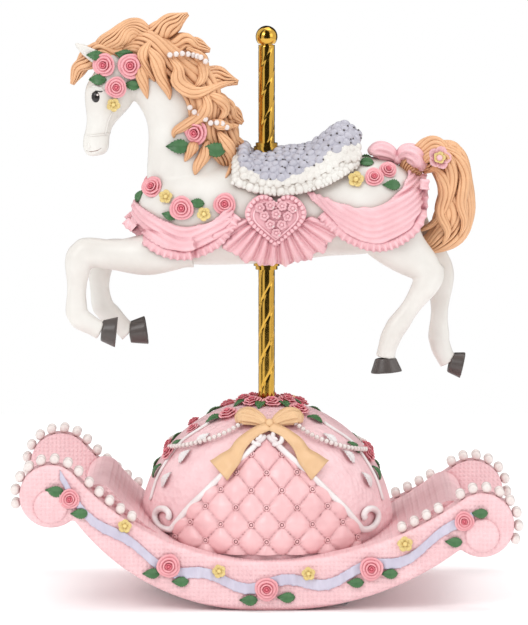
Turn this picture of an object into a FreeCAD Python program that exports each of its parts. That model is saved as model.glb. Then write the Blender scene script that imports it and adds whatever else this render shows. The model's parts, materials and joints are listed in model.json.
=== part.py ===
"""Carousel horse music box on a rocking base, in millimetres.

+Z is up, the horse faces -X and its near side faces -Y. The origin is on the table, under the pole.
A wind-up movement under the dome turns a pinned cylinder against a comb and works a rocking arm.
"""
import FreeCAD, Part
import math
import os

from FreeCAD import Vector as V

X_AXIS, Y_AXIS, Z_AXIS = V(1, 0, 0), V(0, 1, 0), V(0, 0, 1)
NEAR, FAR = -1, 1
HEAD, TAIL = -1, 1

# Fits
RUNNING = 0.05
PRESSED = 0.02
CLEAR = 0.3
GLUE_LINE = 0.08

# Rocking base
ROCKER_INNER_Y = 45.0
ROCKER_WIDTH = 13.0
ROCKER_DEPTH = 18.6
ROCKER_EDGE = 2.6
FLAT_HALF = 4.0
ROCK_RADIUS = {HEAD: 86.0, TAIL: 115.0}
SCROLL_X = {HEAD: 81.5, TAIL: 81.5}
SCROLL_Z = {HEAD: 43.5, TAIL: 32.5}
SCROLL_RADIUS = {HEAD: 12.0, TAIL: 12.2}
SCROLL_NOTCH = 1.6
ROLL_RADIUS = 6.4
ROLL_STAND = 1.4
ROLL_DROP = 3.6
FLOOR_RISE = 12.5
FLOOR_THICK = 4.5
FLOOR_ROLL_X = {HEAD: 64.0, TAIL: 70.0}
FLOOR_ROLL_RADIUS = 6.5
BOSS_WALL = 8.5
BOSS_HEIGHT = 12.0
COVER_MARGIN = 1.2
COVER_THICK = 2.5
SCREW_RADIUS = 1.2
SCREW_HEAD_RADIUS = 2.3
SCREW_HEAD = 1.2
SCREW_LENGTH = 8.0
COVER_SCREWS = 4
PEARL_RADIUS = 1.75
PEARL_PITCH = 5.2
PEARL_ROW_INSET = 3.6
PEARL_FIRST_X = 52.0
PEARL_LAST_TURN = 185.0

# Dome
DOME_RADIUS = 49.0
DOME_CENTRE_Z = 25.0
DOME_WALL = 5.0
DOME_HUB_RADIUS = 8.5
DOME_HUB_FOOT_Z = 60.0
QUILT_STAND = 1.2
QUILT_APEX_Z = 62.5
QUILT_FOOT_X = 35.0
QUILT_FOOT_Z = 37.0
QUILT_BOW_IN = 3.5
SCROLL_TRIM_WIDTH = 2.4
SCROLL_TRIM_STAND = 1.8
SCROLL_EYE_RADIUS = 3.4

# Pole
POLE_RADIUS = 3.175
POLE_BORE = 2.3
POLE_FOOT_Z = 54.0
POLE_TOP_Z = 212.0
FINIAL_RADIUS = 4.2
FINIAL_STUD = 7.0
COLLAR_RADIUS = 5.0
COLLAR_THICK = 1.4
UPPER_COLLAR_Z = 171.0
LOWER_COLLAR_Z = 126.2
NUT_RADIUS = 5.5
NUT_THICK = 4.0

# Horse
HORSE_LEG_Y = 10.5
DRAPE_THICK = 1.8
SEAT_THICK = 2.6
FLEECE_THICK = 1.6
HEART_SIZE = 9.6
HEART_THICK = 3.4
RUFFLE_RADIUS = 19.0
RUFFLE_THICK = 1.6
RUFFLE_SCALLOP = 0.7
RUFFLE_WIDEN = 1.12
ROSE_RISE = 0.8
LEAF_THICK = 0.8

# Movement
BEDPLATE_THICK = 3.0
BEDPLATE_HEAD_X = 28.5
BEDPLATE_TAIL_X = 26.0
BEDPLATE_NEAR_Y = 23.0
BEDPLATE_FAR_Y = 20.0
SPRING_X = -16.0
SPRING_RADIUS = 11.0
SPRING_HEIGHT = 11.0
SPRING_WALL = 0.9
BAND_THICK = 0.5
BAND_TURNS = 6
ARBOR_RADIUS = 1.6
CROWN_TEETH = 25
PINION_TEETH = 10
CROWN_MODULE = 0.8
CROWN_DISC = 1.8
CROWN_FACE = 1.8
CYLINDER_RADIUS = 6.5
CYLINDER_WALL = 0.8
CYLINDER_LENGTH = 23.0
PIN_RADIUS = 0.3
PIN_RISE = 0.5
PIN_TRACKS = 10
PINS_PER_TRACK = 5
COMB_CLEAR = 0.35
COMB_THICK = 1.0
COMB_TOOTH = 8.5
COMB_HEEL = 6.5
COMB_TEETH = 18
SHAFT_RADIUS = 1.2
POST_THICK = 2.4
POST_HALF = 3.2
GEAR_TEETH = 36
GEAR_MODULE = 0.6
GEAR_WIDTH = 2.0
FLY_PINION_TEETH = 10
GOVERNOR_Y = 12.0
WORM_WHEEL_TEETH = 16
WORM_MODULE = 0.5
WORM_WHEEL_WIDTH = 1.4
WORM_RADIUS = 1.6
WORM_TURNS = 4
FLY_SPAN = 5.0
FLY_HEIGHT = 5.0
FLY_THICK = 0.5
FRAME_PLATE = 1.5
CAM_RADIUS = 6.0
CAM_THROW = 1.2
CAM_WIDTH = 3.0
ARM_RADIUS = 1.3
ARM_HINGE_Y = 15.0
ARM_Z = 6.2
ARM_TIP_Y = -42.0
ARM_TIP_Z = 0.3
ARM_BEND = 3.0
ARM_SLOT = 3.2
ARM_PIN_RADIUS = 1.0
KEY_SPAN = 24.0
KEY_THICK = 1.8
KEY_FOOT_Z = 2.2
KEY_WING = 5.2
TOOTH_SHARE = 0.36
ADDENDUM = 0.75
DEDENDUM = 1.15
PRESSURE_ANGLE = 20.0

# Spacing inside the movement
PINION_GAP = 1.0
DRUM_GAP = 0.6
GEAR_GAP = 0.5
CAM_GAP = 1.2
FRAME_INSET = 2.0
WHEEL_INSET = 3.2
FRAME_REACH = 4.2
BED_SCREW_PLACES = [(-2.0, 13.0), (-14.0, -17.0), (10.0, -19.0)]
GOVERNOR_SHAFT = 1.0
WORM_SHAFT = 0.7
BRIDGE_HEADROOM = 1.5
BRIDGE_HALF = 2.2
FRAME_GAP = 1.0
ARM_HUB_RADIUS = 2.4
ARM_HUB_HALF = 1.5
BRACKET_CHEEK = 1.4

# Horse. Stations are (x, z, half height, half width) along each limb.

TORSO = [(-50, 146, 3, 3), (-48, 146, 9, 8.5), (-42, 146, 15.5, 13.5), (-28, 146.3, 19.6, 17),
         (-10, 146.3, 19.5, 18), (8, 146.8, 18.8, 18), (24, 148, 18, 17.5), (40, 150, 18.5, 18),
         (50, 152, 15.5, 15.5), (56, 153.5, 10.5, 11), (59.5, 154.5, 4, 4.5)]
NECK = [(-27, 146, 18, 13), (-30, 159, 16.5, 11), (-33, 171, 13.2, 9), (-35.5, 183, 10.8, 7.6),
        (-40.5, 193, 10, 6.8), (-48, 200, 9, 6.2), (-55, 203, 7, 5.4)]
SKULL = [(-53.9, 205.6, 4, 3.5), (-57.4, 200.7, 9.2, 6.4), (-60.4, 193, 9.5, 6.8), (-62.8, 186.8, 7.6, 5.8),
         (-64.7, 179.8, 4.9, 4.4), (-65.8, 174, 5.1, 4.6), (-65.8, 170.6, 4.5, 4.2), (-65.6, 168.8, 2.4, 2.4)]
EAR = [(-62, 205, 2.6, 1.6), (-67, 207.8, 2.6, 1.7), (-71, 210.3, 1.7, 1.2), (-74, 212.2, 0.4, 0.4)]
EAR_Y = 3.6
NEAR_FORELEG = [
    [(-29.6, 134.6, 9, 6.5), (-41.2, 132, 8, 5.8), (-56.6, 131.1, 6.2, 5), (-67.4, 132.2, 5.8, 4.7),
     (-72.4, 132.6, 4.8, 4.2), (-74.6, 132.6, 2.2, 2)],
    [(-71.6, 135.4, 2.6, 2.4), (-72, 131.9, 4.9, 4.4), (-72.8, 123, 4.4, 4), (-73.2, 113.3, 4, 3.7),
     (-73.2, 108.7, 4.2, 3.9), (-73, 105.4, 2.2, 2.2)],
    [(-75.3, 108.8, 2, 2), (-73.2, 107.5, 3.9, 3.6), (-68.1, 104.4, 3.8, 3.5), (-63.6, 102, 4, 3.7)]]
FAR_FORELEG = [
    [(-27.4, 134.4, 9, 6.5), (-39.3, 130.6, 7.8, 5.8), (-52, 129.7, 6.2, 5), (-59.5, 130.3, 5.6, 4.6),
     (-63.8, 130.6, 4.6, 4.2), (-66.2, 130.6, 2.2, 2)],
    [(-63.6, 133.4, 2.6, 2.4), (-64, 130, 4.8, 4.3), (-65, 121, 4.3, 4), (-64.4, 112.8, 4, 3.7),
     (-63.6, 109, 4.2, 3.9), (-62.6, 106, 2.2, 2.2)],
    [(-65.2, 110.4, 2, 2), (-63.2, 108.6, 3.9, 3.6), (-58, 103.4, 3.9, 3.5), (-53.4, 99.2, 4.1, 3.8)]]
NEAR_HIND_LEG = [
    [(44, 149, 14, 8), (49, 137.5, 11.5, 6.8), (56.5, 130, 8, 5.6), (62.5, 125.9, 5.6, 4.7),
     (65.6, 123.6, 3, 2.8)],
    [(66, 128, 2.6, 2.6), (63.9, 124.1, 4.8, 4.3), (58.1, 114.9, 4.2, 3.8), (52.2, 106.5, 4, 3.6),
     (49.3, 102.5, 4.1, 3.7), (47.4, 99.9, 2.2, 2.2)],
    [(50.9, 105, 2.2, 2.2), (48.9, 101.6, 4, 3.6), (46.7, 96, 3.7, 3.4), (45.8, 91.4, 4, 3.7)]]
FAR_HIND_LEG = [
    [(47, 149, 13, 8), (53, 140, 11, 6.6), (61, 131.5, 7.6, 5.4), (66.5, 127, 5.4, 4.6),
     (69.3, 124.6, 2.8, 2.6)],
    [(68.8, 129, 2.6, 2.6), (67.8, 124.9, 4.8, 4.3), (67.4, 113, 4.1, 3.8), (67, 101, 3.9, 3.6),
     (67, 96.6, 4.1, 3.7), (67.2, 93.2, 2.2, 2.2)],
    [(66.4, 99.2, 2.2, 2.2), (67.2, 95.6, 3.9, 3.6), (69, 90.8, 3.7, 3.4), (71, 87.6, 3.9, 3.6)]]
# Each hoof runs from the last station of its leg to the middle of its sole: x, z, half height, half width
HOOF_SOLES = {"near_foreleg": (-57.8, 101.4, 6, 5), "far_foreleg": (-46.6, 100.2, 5.6, 5),
              "near_hind_leg": (46.2, 85.8, 6.2, 5), "far_hind_leg": (76.4, 86.4, 5.2, 5)}
TAIL_LOCKS = [
    [(53.1, 160.5, 3, 3), (58.1, 166.6, 5.4, 4.4), (64.5, 169.6, 6.6, 5.6), (70, 168, 5.8, 5.6),
     (74, 163.5, 3, 3.4)],
    [(65, 172.6, 3, 3.4), (69.4, 167.5, 6.6, 6.2), (72.4, 158.5, 7.8, 7.2), (72.8, 148.5, 7.8, 7.4),
     (69.6, 139.8, 6.6, 6.4), (63.6, 135.2, 4.4, 4.6), (57.4, 135.4, 1.8, 2)]]
MANE_LOCKS = [
    [(-58, 208.5, 3, 4), (-50, 211, 6.4, 6.2), (-41, 207.6, 8.4, 7.6), (-32.4, 199.6, 9.6, 8.6),
     (-26, 189.6, 10, 9), (-21.6, 179.6, 9.2, 9), (-18, 170, 7, 7.6), (-15.4, 163.4, 3.2, 4.4)],
    [(-50, 209, 5, 4.5), (-42.6, 215.6, 5, 4.4), (-35.6, 220.4, 3.6, 3.4), (-30.2, 223.4, 0.8, 0.8)],
    [(-41, 206, 5.4, 5), (-31, 211.4, 4.8, 4.6), (-21.8, 209.4, 1, 1)],
    [(-32, 196, 5.6, 5.6), (-20.6, 199, 4.8, 4.6), (-11, 197, 1, 1)],
    [(-26, 186, 5.6, 6), (-15.6, 186, 4.8, 4.8), (-9.2, 181.4, 1, 1)],
    [(-21, 174, 5, 5.6), (-13, 172.6, 4.4, 4.6), (-10.2, 166, 1.2, 1.4)],
    [(-55, 208.6, 4.6, 5.4), (-64, 208.4, 4.4, 5), (-71.4, 203.4, 3.4, 3.8), (-75, 196.4, 1, 1.2)]]
SADDLE = [(-12, 150, 17.4, 16.5), (-6, 150, 18.6, 18), (4, 150, 19.2, 18.6), (14, 150, 20.4, 18.8),
          (21, 150, 24, 18.4), (27, 150, 28.6, 17), (31, 150, 28.8, 15.4), (33.5, 150, 25, 13.4)]
SADDLE_EDGE = [(-10, 162), (4, 158.6), (18, 161.4), (29, 167.6)]
FLEECE_EDGE = [(-13, 159.4), (3, 155.2), (20, 158), (33, 164.4)]
BREAST_TOP = [(-53, 153), (-45, 147.6), (-36, 143.4), (-26, 143), (-14.5, 151)]
BREAST_HEM = [(-12.5, 148), (-20, 137.6), (-31, 133.2), (-42, 136), (-53, 146)]
RUMP_TOP = [(14, 157), (26, 152.4), (38, 149.8), (48, 153.4), (55, 164)]
RUMP_HEM = [(59, 161), (57.6, 146), (50, 138.6), (41, 136.6), (31, 140.4), (22, 148.6)]
HEART_CENTRE = (3.5, 146.0)

# Trim on the base: places are (x, z) in the side view, with a size and, for leaves, a turn

GARLAND_ROSES = [(-74, 43, 3.2), (-37, 17.4, 4.2), (0, 8.6, 4.2), (39.6, 16.4, 4.2), (74.4, 34.6, 3.2)]
GARLAND_BLOSSOMS = [(-53.6, 32.4, 2.4), (-18, 15.4, 2.4), (15.8, 14.6, 2.4), (52.4, 25.6, 2.4)]
GARLAND_LEAVES = [(-79.6, 46.4, 6, 120), (-70.6, 37.4, 6, 130), (-43.4, 14.6, 6, 35), (-32.6, 11.4, 6, 150),
                  (-6.8, 4.4, 6.4, 30), (7.4, 5.4, 6.4, 150), (33.6, 11, 6, 25), (46.4, 14.4, 6, 20),
                  (70.6, 26.6, 6, 60), (80.4, 37.4, 6, 30)]
RIBBON_END_X = 78.0
RIBBON_WAVE = 1.8
RIBBON_WAVE_LENGTH = 30.0
RIBBON_HALF = 2.1
RIBBON_THICK = 0.9
RIBBON_LEVEL = 0.55
DOME_ROSES = [(-37, 54.5, 3.4), (-14.5, 69.5, 3.6), (38.6, 53.6, 3.4), (12.4, 70.8, 3.6), (-28, 63.6, 2.6)]
DOME_LEAVES = [(-34.6, 57.6, 6, 150), (-42, 47.6, 6, 40), (-20.4, 67.4, 6, 10), (33.2, 57.2, 6, 30),
               (42, 47, 6, 140), (18.4, 67.8, 6, 160)]
BOW_X, BOW_Z = 2.0, 66.0
BOW_LOOP = [(0.0, 0.4), (6.0, 5.0), (11.4, 3.6), (10.8, -1.6), (5.0, -2.4)]
BOW_TAIL = [(0.4, 0.4), (10.0, -4.6), (19.4, -13.6), (15.6, -18.4), (6.4, -9.6), (-0.6, -1.6)]
BOW_KNOT = 2.6
BOW_STAND = 2.4

# Trim on the horse: places are (x, z) in the side view, with a size and, for leaves, a turn

HORSE_ROSES = [(-62, 204, 4.2), (-52, 203.6, 4.4), (-58, 195.6, 3.8), (-27, 178.6, 4.6), (-43.4, 156.6, 3.8),
               (-32.4, 149.6, 4.4), (-16, 151, 4), (28.4, 163.6, 3.2), (41.2, 161, 3.4), (46.4, 163.4, 3)]
HORSE_BLOSSOMS = [(-59, 189, 2.2), (-38.4, 153.6, 2.4), (-24, 147.6, 2.4), (34.4, 160, 2.8)]
HORSE_LEAVES = [(-66, 208, 6, 120), (-55, 208.6, 6, 60), (-65, 198.4, 6, 60), (-51.6, 196.4, 6, 130),
                (-34.4, 173, 8, 150), (-20.6, 171.6, 8, 40), (-48, 153, 6, 60), (-37, 147, 6, 130),
                (-27, 151.6, 6, 40), (23, 164.6, 6, 20), (38, 166, 6, 90), (48, 158.6, 6, 130)]
RUMP_BOW_LOOPS = [[(49.5, 169, 1.6, 2), (46, 171.6, 3, 5), (42, 172.6, 3.2, 6), (38.6, 171.8, 1.2, 2.4)],
                  [(50.5, 169, 1.6, 2), (52.4, 173.4, 2.8, 5), (54.6, 177, 3, 5.6), (56, 179.4, 1.2, 2.4)]]

# Places worked out from the sizes above
SPHERE_FOOT = V(0, 0, DOME_CENTRE_Z)
DOME_INNER = DOME_RADIUS - DOME_WALL
BOSS_RADIUS = DOME_INNER - CLEAR
WELL_RADIUS = BOSS_RADIUS - BOSS_WALL
BOSS_FOOT_Z = FLOOR_RISE
COVER_FOOT_Z = BOSS_FOOT_Z - COVER_THICK
COVER_RADIUS = BOSS_RADIUS - COVER_MARGIN
COVER_SCREW_RING = 0.5 * (WELL_RADIUS + COVER_RADIUS)
BED_TOP_Z = BOSS_FOOT_Z + BEDPLATE_THICK
CROWN_RADIUS = 0.5 * CROWN_MODULE * CROWN_TEETH
PINION_RADIUS = 0.5 * CROWN_MODULE * PINION_TEETH
CROWN_FOOT_Z = BED_TOP_Z + SPRING_HEIGHT + CLEAR
CROWN_PITCH_Z = CROWN_FOOT_Z + CROWN_DISC + DEDENDUM * CROWN_MODULE
CYLINDER_Z = CROWN_PITCH_Z + PINION_RADIUS
PINION_X = SPRING_X + CROWN_RADIUS
POST_HEAD_X = PINION_X + 0.5 * CROWN_FACE + PINION_GAP
DRUM_X = POST_HEAD_X + POST_THICK + DRUM_GAP
POST_TAIL_X = DRUM_X + CYLINDER_LENGTH + DRUM_GAP
GEAR_X = POST_TAIL_X + POST_THICK + GEAR_GAP
GEAR_RADIUS = 0.5 * GEAR_MODULE * GEAR_TEETH
CAM_X = GEAR_X + GEAR_WIDTH + CAM_GAP
ARM_X = CAM_X + 0.5 * CAM_WIDTH
FLY_PINION_RADIUS = 0.5 * GEAR_MODULE * FLY_PINION_TEETH
GOVERNOR_Z = CYLINDER_Z - math.sqrt((GEAR_RADIUS + FLY_PINION_RADIUS) ** 2 - GOVERNOR_Y ** 2)
WORM_WHEEL_RADIUS = 0.5 * WORM_MODULE * WORM_WHEEL_TEETH
WORM_LEAD = math.pi * WORM_MODULE
FRAME_TAIL_X = POST_TAIL_X - FRAME_INSET
WORM_WHEEL_X = FRAME_TAIL_X - FRAME_PLATE - WHEEL_INSET
FRAME_HEAD_X = WORM_WHEEL_X - FRAME_REACH
WORM_Y = GOVERNOR_Y + WORM_WHEEL_RADIUS + WORM_RADIUS
ROCKER_OUTER_Y = ROCKER_INNER_Y + ROCKER_WIDTH
ROCKER_MIDDLE_Y = ROCKER_INNER_Y + 0.5 * ROCKER_WIDTH
COMB_TIP_Y = -(CYLINDER_RADIUS + PIN_RISE + COMB_CLEAR)
COMB_ROOT_Y = COMB_TIP_Y - COMB_TOOTH
COMB_BACK_Y = COMB_ROOT_Y - COMB_HEEL
COMB_FOOT_Z = CYLINDER_Z - 0.5 * COMB_THICK
COMB_SCREW_XS = [DRUM_X + 0.25 * CYLINDER_LENGTH, DRUM_X + 0.75 * CYLINDER_LENGTH]
WORM_X = WORM_WHEEL_X + 0.5 * WORM_WHEEL_WIDTH
BRIDGE_Z = GOVERNOR_Z + 0.5 * WORM_TURNS * WORM_LEAD + BRIDGE_HEADROOM
FRAME_NEAR_Y = CYLINDER_RADIUS + PIN_RISE + FRAME_GAP
FRAME_FAR_Y = WORM_Y + BRIDGE_HALF


def union(shapes):
    """One solid from shapes that run into each other."""
    joined = shapes[0].fuse(shapes[1:]) if len(shapes) > 1 else shapes[0]
    return joined.removeSplitter()


def largest(shape):
    """The largest solid of a cut."""
    return max(shape.Solids, key=lambda solid: solid.Volume)


def clear_of(piece, carriers):
    """The piece with everything that it would share with its carriers taken away."""
    for carrier in carriers:
        for solid in carrier.Solids:
            if piece.BoundBox.intersect(solid.BoundBox):
                piece = piece.cut(solid)
    return largest(piece)


def rod(radius, start, end):
    """Round rod between two points."""
    along = end.sub(start)
    return Part.makeCylinder(radius, along.Length, start, along)


def tube(radius, bore, start, end):
    """Round tube between two points."""
    return rod(radius, start, end).cut(rod(bore, start, end))


def plate(low, high):
    """Block between two corners."""
    size = high.sub(low)
    return Part.makeBox(size.x, size.y, size.z, low)


def side_point(x, z, y=0.0):
    """Point of the side view, which is drawn with X to the right and Z up."""
    return V(x, y, z)


def three_point_arc(start, middle, end):
    """Arc in the side view through three (x, z) points."""
    return Part.Arc(side_point(*start), side_point(*middle), side_point(*end)).toShape()


def side_line(start, end):
    """Line in the side view."""
    return Part.LineSegment(side_point(*start), side_point(*end)).toShape()


def side_curve(points, closed=False):
    """Smooth curve in the side view through (x, z) points."""
    curve = Part.BSplineCurve()
    curve.interpolate([side_point(*point) for point in points], PeriodicFlag=closed)
    return curve.toShape()


def side_prism(edges, y_low, y_high):
    """Solid made by drawing a closed side view outline out along Y."""
    face = Part.Face(Part.Wire(edges))
    face.translate(V(0, y_low, 0))
    return face.extrude(V(0, y_high - y_low, 0))


def turned_point(centre, radius, degrees):
    """Point of a circle in the side view."""
    angle = math.radians(degrees)
    return (centre[0] + radius * math.cos(angle), centre[1] + radius * math.sin(angle))


def bearing_of(centre, point):
    """Angle of a point about a centre in the side view, in degrees."""
    return math.degrees(math.atan2(point[1] - centre[1], point[0] - centre[0]))


def arc_on(centre, radius, start, end):
    """Arc of a circle in the side view from one angle to another, in degrees."""
    middle = 0.5 * (start + end)
    stops = [turned_point(centre, radius, angle) for angle in (start, middle, end)]
    return three_point_arc(*stops)


def toward(start, end, distance):
    """Point at a distance from start on the way to end."""
    span = math.dist(start, end)
    share = distance / span
    return (start[0] + (end[0] - start[0]) * share, start[1] + (end[1] - start[1]) * share)


def ring(centre, along, half_height, half_width, points=10):
    """Closed oval across a limb. Its width is along Y and its height lies in the side view."""
    up = V(-along.z, 0, along.x).normalize()
    stops = []
    for index in range(points):
        angle = 2 * math.pi * index / points
        rise = up * (half_height * math.cos(angle))
        stops.append(centre.add(rise).add(Y_AXIS * (half_width * math.sin(angle))))
    curve = Part.BSplineCurve()
    curve.interpolate(stops, PeriodicFlag=True)
    return Part.Wire(curve.toShape())


def limb(stations, y=0.0, grow=0.0):
    """Rounded limb through stations (x, z, half height, half width), optionally grown all round."""
    centres = [V(station[0], y, station[1]) for station in stations]
    centres[0] = centres[0].add(centres[0].sub(centres[1]).normalize() * grow)
    centres[-1] = centres[-1].add(centres[-1].sub(centres[-2]).normalize() * grow)
    wires = []
    for index, station in enumerate(stations):
        before = centres[max(index - 1, 0)]
        after = centres[min(index + 1, len(centres) - 1)]
        wires.append(ring(centres[index], after.sub(before), station[2] + grow, station[3] + grow))
    return Part.makeLoft(wires, True, False)


def facing(shape, place, outward):
    """A shape made along +Z, turned to face outward and moved to its place."""
    moved = shape.copy()
    moved.Placement = FreeCAD.Placement(place, FreeCAD.Rotation(Z_AXIS, outward))
    return moved


def rose(radius):
    """Rose with two rings of petals round a bud, standing on its flat back."""
    rise = ROSE_RISE * radius
    outline = [(0, -rise), (0.62, -rise), (1.0, 0.35 * rise), (0.86, 0.62 * rise), (0.66, 0.42 * rise),
               (0.6, 0.82 * rise), (0.4, 0.62 * rise), (0.3, rise), (0, 0.9 * rise)]
    corners = [V(radius * across, 0, up) for across, up in outline]
    face = Part.Face(Part.makePolygon(corners + corners[:1]))
    return face.revolve(V(0, 0, 0), Z_AXIS, 360)


def blossom(radius):
    """Small five-petalled blossom on a flat back."""
    petal_radius = 0.5 * radius
    shapes = [Part.makeCylinder(0.45 * radius, 1.3 * radius, V(0, 0, -0.6 * radius))]
    for petal in range(5):
        angle = 2 * math.pi * petal / 5
        foot = V(petal_radius * math.cos(angle), petal_radius * math.sin(angle), -0.6 * radius)
        shapes.append(Part.makeCylinder(petal_radius, radius, foot))
    return union(shapes)


def leaf(length, turn):
    """Pointed leaf with bowed edges, lying across +Z with its tip turned by an angle."""
    half = 0.5 * length
    bow = 0.3 * length
    edges = [Part.Arc(V(-half, 0, 0), V(0, bow, 0), V(half, 0, 0)).toShape(),
             Part.Arc(V(half, 0, 0), V(0, -bow, 0), V(-half, 0, 0)).toShape()]
    blade = Part.Face(Part.Wire(edges)).extrude(V(0, 0, 2 * LEAF_THICK))
    blade.translate(V(0, 0, -LEAF_THICK))
    blade.rotate(V(0, 0, 0), Z_AXIS, turn)
    return blade


# Rocking base

def rock_centre(end):
    """Centre of the arc under one end of a rocker."""
    return (end * FLAT_HALF, ROCK_RADIUS[end])


def scroll_centre(end):
    """Centre of the scroll at one end of a rocker."""
    return (end * SCROLL_X[end], SCROLL_Z[end])


def top_radius(end):
    """Radius of the top edge, which is level in the middle and runs smoothly into the scroll."""
    reach = SCROLL_X[end] ** 2 + (ROCKER_DEPTH - SCROLL_Z[end]) ** 2 - SCROLL_RADIUS[end] ** 2
    return reach / (2 * (SCROLL_RADIUS[end] + SCROLL_Z[end] - ROCKER_DEPTH))


def top_centre(end):
    """Centre of the arc of the top edge."""
    return (0.0, ROCKER_DEPTH + top_radius(end))


def notch_centre(end):
    """Centre of the small round between the scroll and the underside."""
    rock, scroll = rock_centre(end), scroll_centre(end)
    to_rock = ROCK_RADIUS[end] + SCROLL_NOTCH
    to_scroll = SCROLL_RADIUS[end] + SCROLL_NOTCH
    span = math.dist(rock, scroll)
    along = (to_rock ** 2 - to_scroll ** 2 + span ** 2) / (2 * span)
    across = math.sqrt(to_rock ** 2 - along ** 2)
    base = toward(rock, scroll, along)
    unit = ((scroll[0] - rock[0]) / span, (scroll[1] - rock[1]) / span)
    return (base[0] + end * across * unit[1], base[1] - end * across * unit[0])


def rocker_end_edges(end):
    """Edges of one end of a rocker's outline, from the flat round the scroll to the middle of the top."""
    rock, scroll, notch, top = rock_centre(end), scroll_centre(end), notch_centre(end), top_centre(end)
    on_rock = toward(rock, notch, ROCK_RADIUS[end])
    on_scroll = toward(scroll, notch, SCROLL_RADIUS[end])
    on_top = toward(scroll, top, SCROLL_RADIUS[end])
    under = toward(rock, (0.5 * (on_rock[0] + end * FLAT_HALF), 0.0), ROCK_RADIUS[end])
    between = (0.5 * (on_rock[0] + on_scroll[0]), 0.5 * (on_rock[1] + on_scroll[1]))
    hollow = toward(notch, between, SCROLL_NOTCH)
    far_side = (scroll[0] + end * SCROLL_RADIUS[end], scroll[1])
    rise = toward(top, (0.5 * on_top[0], 0.0), top_radius(end))
    return [three_point_arc((end * FLAT_HALF, 0.0), under, on_rock),
            three_point_arc(on_rock, hollow, on_scroll),
            three_point_arc(on_scroll, far_side, on_top),
            three_point_arc(on_top, rise, (0.0, ROCKER_DEPTH))]


def rocker(side):
    """One rocker, with a rounded outer rim and a roll standing out of each scroll."""
    edges = [side_line((-FLAT_HALF, 0.0), (FLAT_HALF, 0.0))]
    for end in (TAIL, HEAD):
        edges += rocker_end_edges(end)
    wire_edges = Part.__sortEdges__(edges)
    low, high = sorted((side * ROCKER_INNER_Y, side * ROCKER_OUTER_Y))
    body = side_prism(wire_edges, low, high)
    outer_rim = [edge for edge in body.Edges if abs(edge.CenterOfMass.y - side * ROCKER_OUTER_Y) < 0.01]
    body = body.makeFillet(ROCKER_EDGE, outer_rim)
    rolls = []
    for end in (HEAD, TAIL):
        x, z = scroll_centre(end)
        foot = V(x, side * ROCKER_MIDDLE_Y, z - ROLL_DROP)
        roll = rod(ROLL_RADIUS, foot, V(x, side * (ROCKER_OUTER_Y + ROLL_STAND), z - ROLL_DROP))
        face_y = side * (ROCKER_OUTER_Y + ROLL_STAND)
        rim = [edge for edge in roll.Edges if abs(edge.CenterOfMass.y - face_y) < PRESSED]
        rolls.append(roll.makeFillet(0.9 * ROLL_STAND, rim))
    return union([body] + rolls)


def floor_roll_centre(end):
    """Centre of the roll at one end of the floor, tangent to the floor's top."""
    rock = rock_centre(end)
    reach = ROCK_RADIUS[end] - FLOOR_RISE - FLOOR_THICK + FLOOR_ROLL_RADIUS
    across = FLOOR_ROLL_X[end] - FLAT_HALF
    return (end * FLOOR_ROLL_X[end], rock[1] - math.sqrt(reach ** 2 - across ** 2))


def floor_band(end):
    """One curved half of the cradle floor, with its end roll."""
    rock, roll = rock_centre(end), floor_roll_centre(end)
    under = ROCK_RADIUS[end] - FLOOR_RISE
    over = under - FLOOR_THICK
    stop = bearing_of(rock, roll)
    edges = [arc_on(rock, under, -90.0, stop),
             side_line(turned_point(rock, under, stop), turned_point(rock, over, stop)),
             arc_on(rock, over, stop, -90.0),
             side_line(turned_point(rock, over, -90.0), (0.0, FLOOR_RISE + FLOOR_THICK)),
             side_line((0.0, FLOOR_RISE + FLOOR_THICK), (0.0, FLOOR_RISE)),
             side_line((0.0, FLOOR_RISE), turned_point(rock, under, -90.0))]
    band = side_prism(edges, -ROCKER_INNER_Y, ROCKER_INNER_Y)
    near, far = V(roll[0], -ROCKER_INNER_Y, roll[1]), V(roll[0], ROCKER_INNER_Y, roll[1])
    end_roll = rod(FLOOR_ROLL_RADIUS, near, far)
    return union([band, end_roll])


def cradle_floor():
    """Floor between the rockers, with a ring under the dome that holds the cover."""
    boss = rod(BOSS_RADIUS, V(0, 0, BOSS_FOOT_Z), V(0, 0, BOSS_FOOT_Z + BOSS_HEIGHT))
    body = union([floor_band(HEAD), floor_band(TAIL), boss])
    well = rod(WELL_RADIUS, V(0, 0, 0), V(0, 0, 2 * DOME_RADIUS))
    body = body.cut(well)
    for place in ring_places(COVER_SCREWS, COVER_SCREW_RING, BOSS_FOOT_Z):
        body = body.cut(rod(SCREW_RADIUS, place, place.add(V(0, 0, SCREW_LENGTH - COVER_THICK))))
    return largest(body)


def ring_places(count, radius, z):
    """Places spread evenly round the pole's axis."""
    places = []
    for index in range(count):
        angle = 2 * math.pi * (index + 0.5) / count
        places.append(V(radius * math.cos(angle), radius * math.sin(angle), z))
    return places


def above_floor():
    """Everything over the top of the cradle floor, as a prism."""
    edges = []
    tops = {}
    for end in (HEAD, TAIL):
        over = ROCK_RADIUS[end] - FLOOR_RISE - FLOOR_THICK
        stop = bearing_of(rock_centre(end), floor_roll_centre(end))
        tops[end] = turned_point(rock_centre(end), over, stop)
        edges.append(arc_on(rock_centre(end), over, -90.0, stop))
    level = FLOOR_RISE + FLOOR_THICK
    high = DOME_CENTRE_Z + 2 * DOME_RADIUS
    edges.append(side_line((-FLAT_HALF, level), (FLAT_HALF, level)))
    edges.append(side_line(tops[HEAD], (tops[HEAD][0], high)))
    edges.append(side_line(tops[TAIL], (tops[TAIL][0], high)))
    edges.append(side_line((tops[HEAD][0], high), (tops[TAIL][0], high)))
    return side_prism(Part.__sortEdges__(edges), -DOME_RADIUS, DOME_RADIUS)


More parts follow.
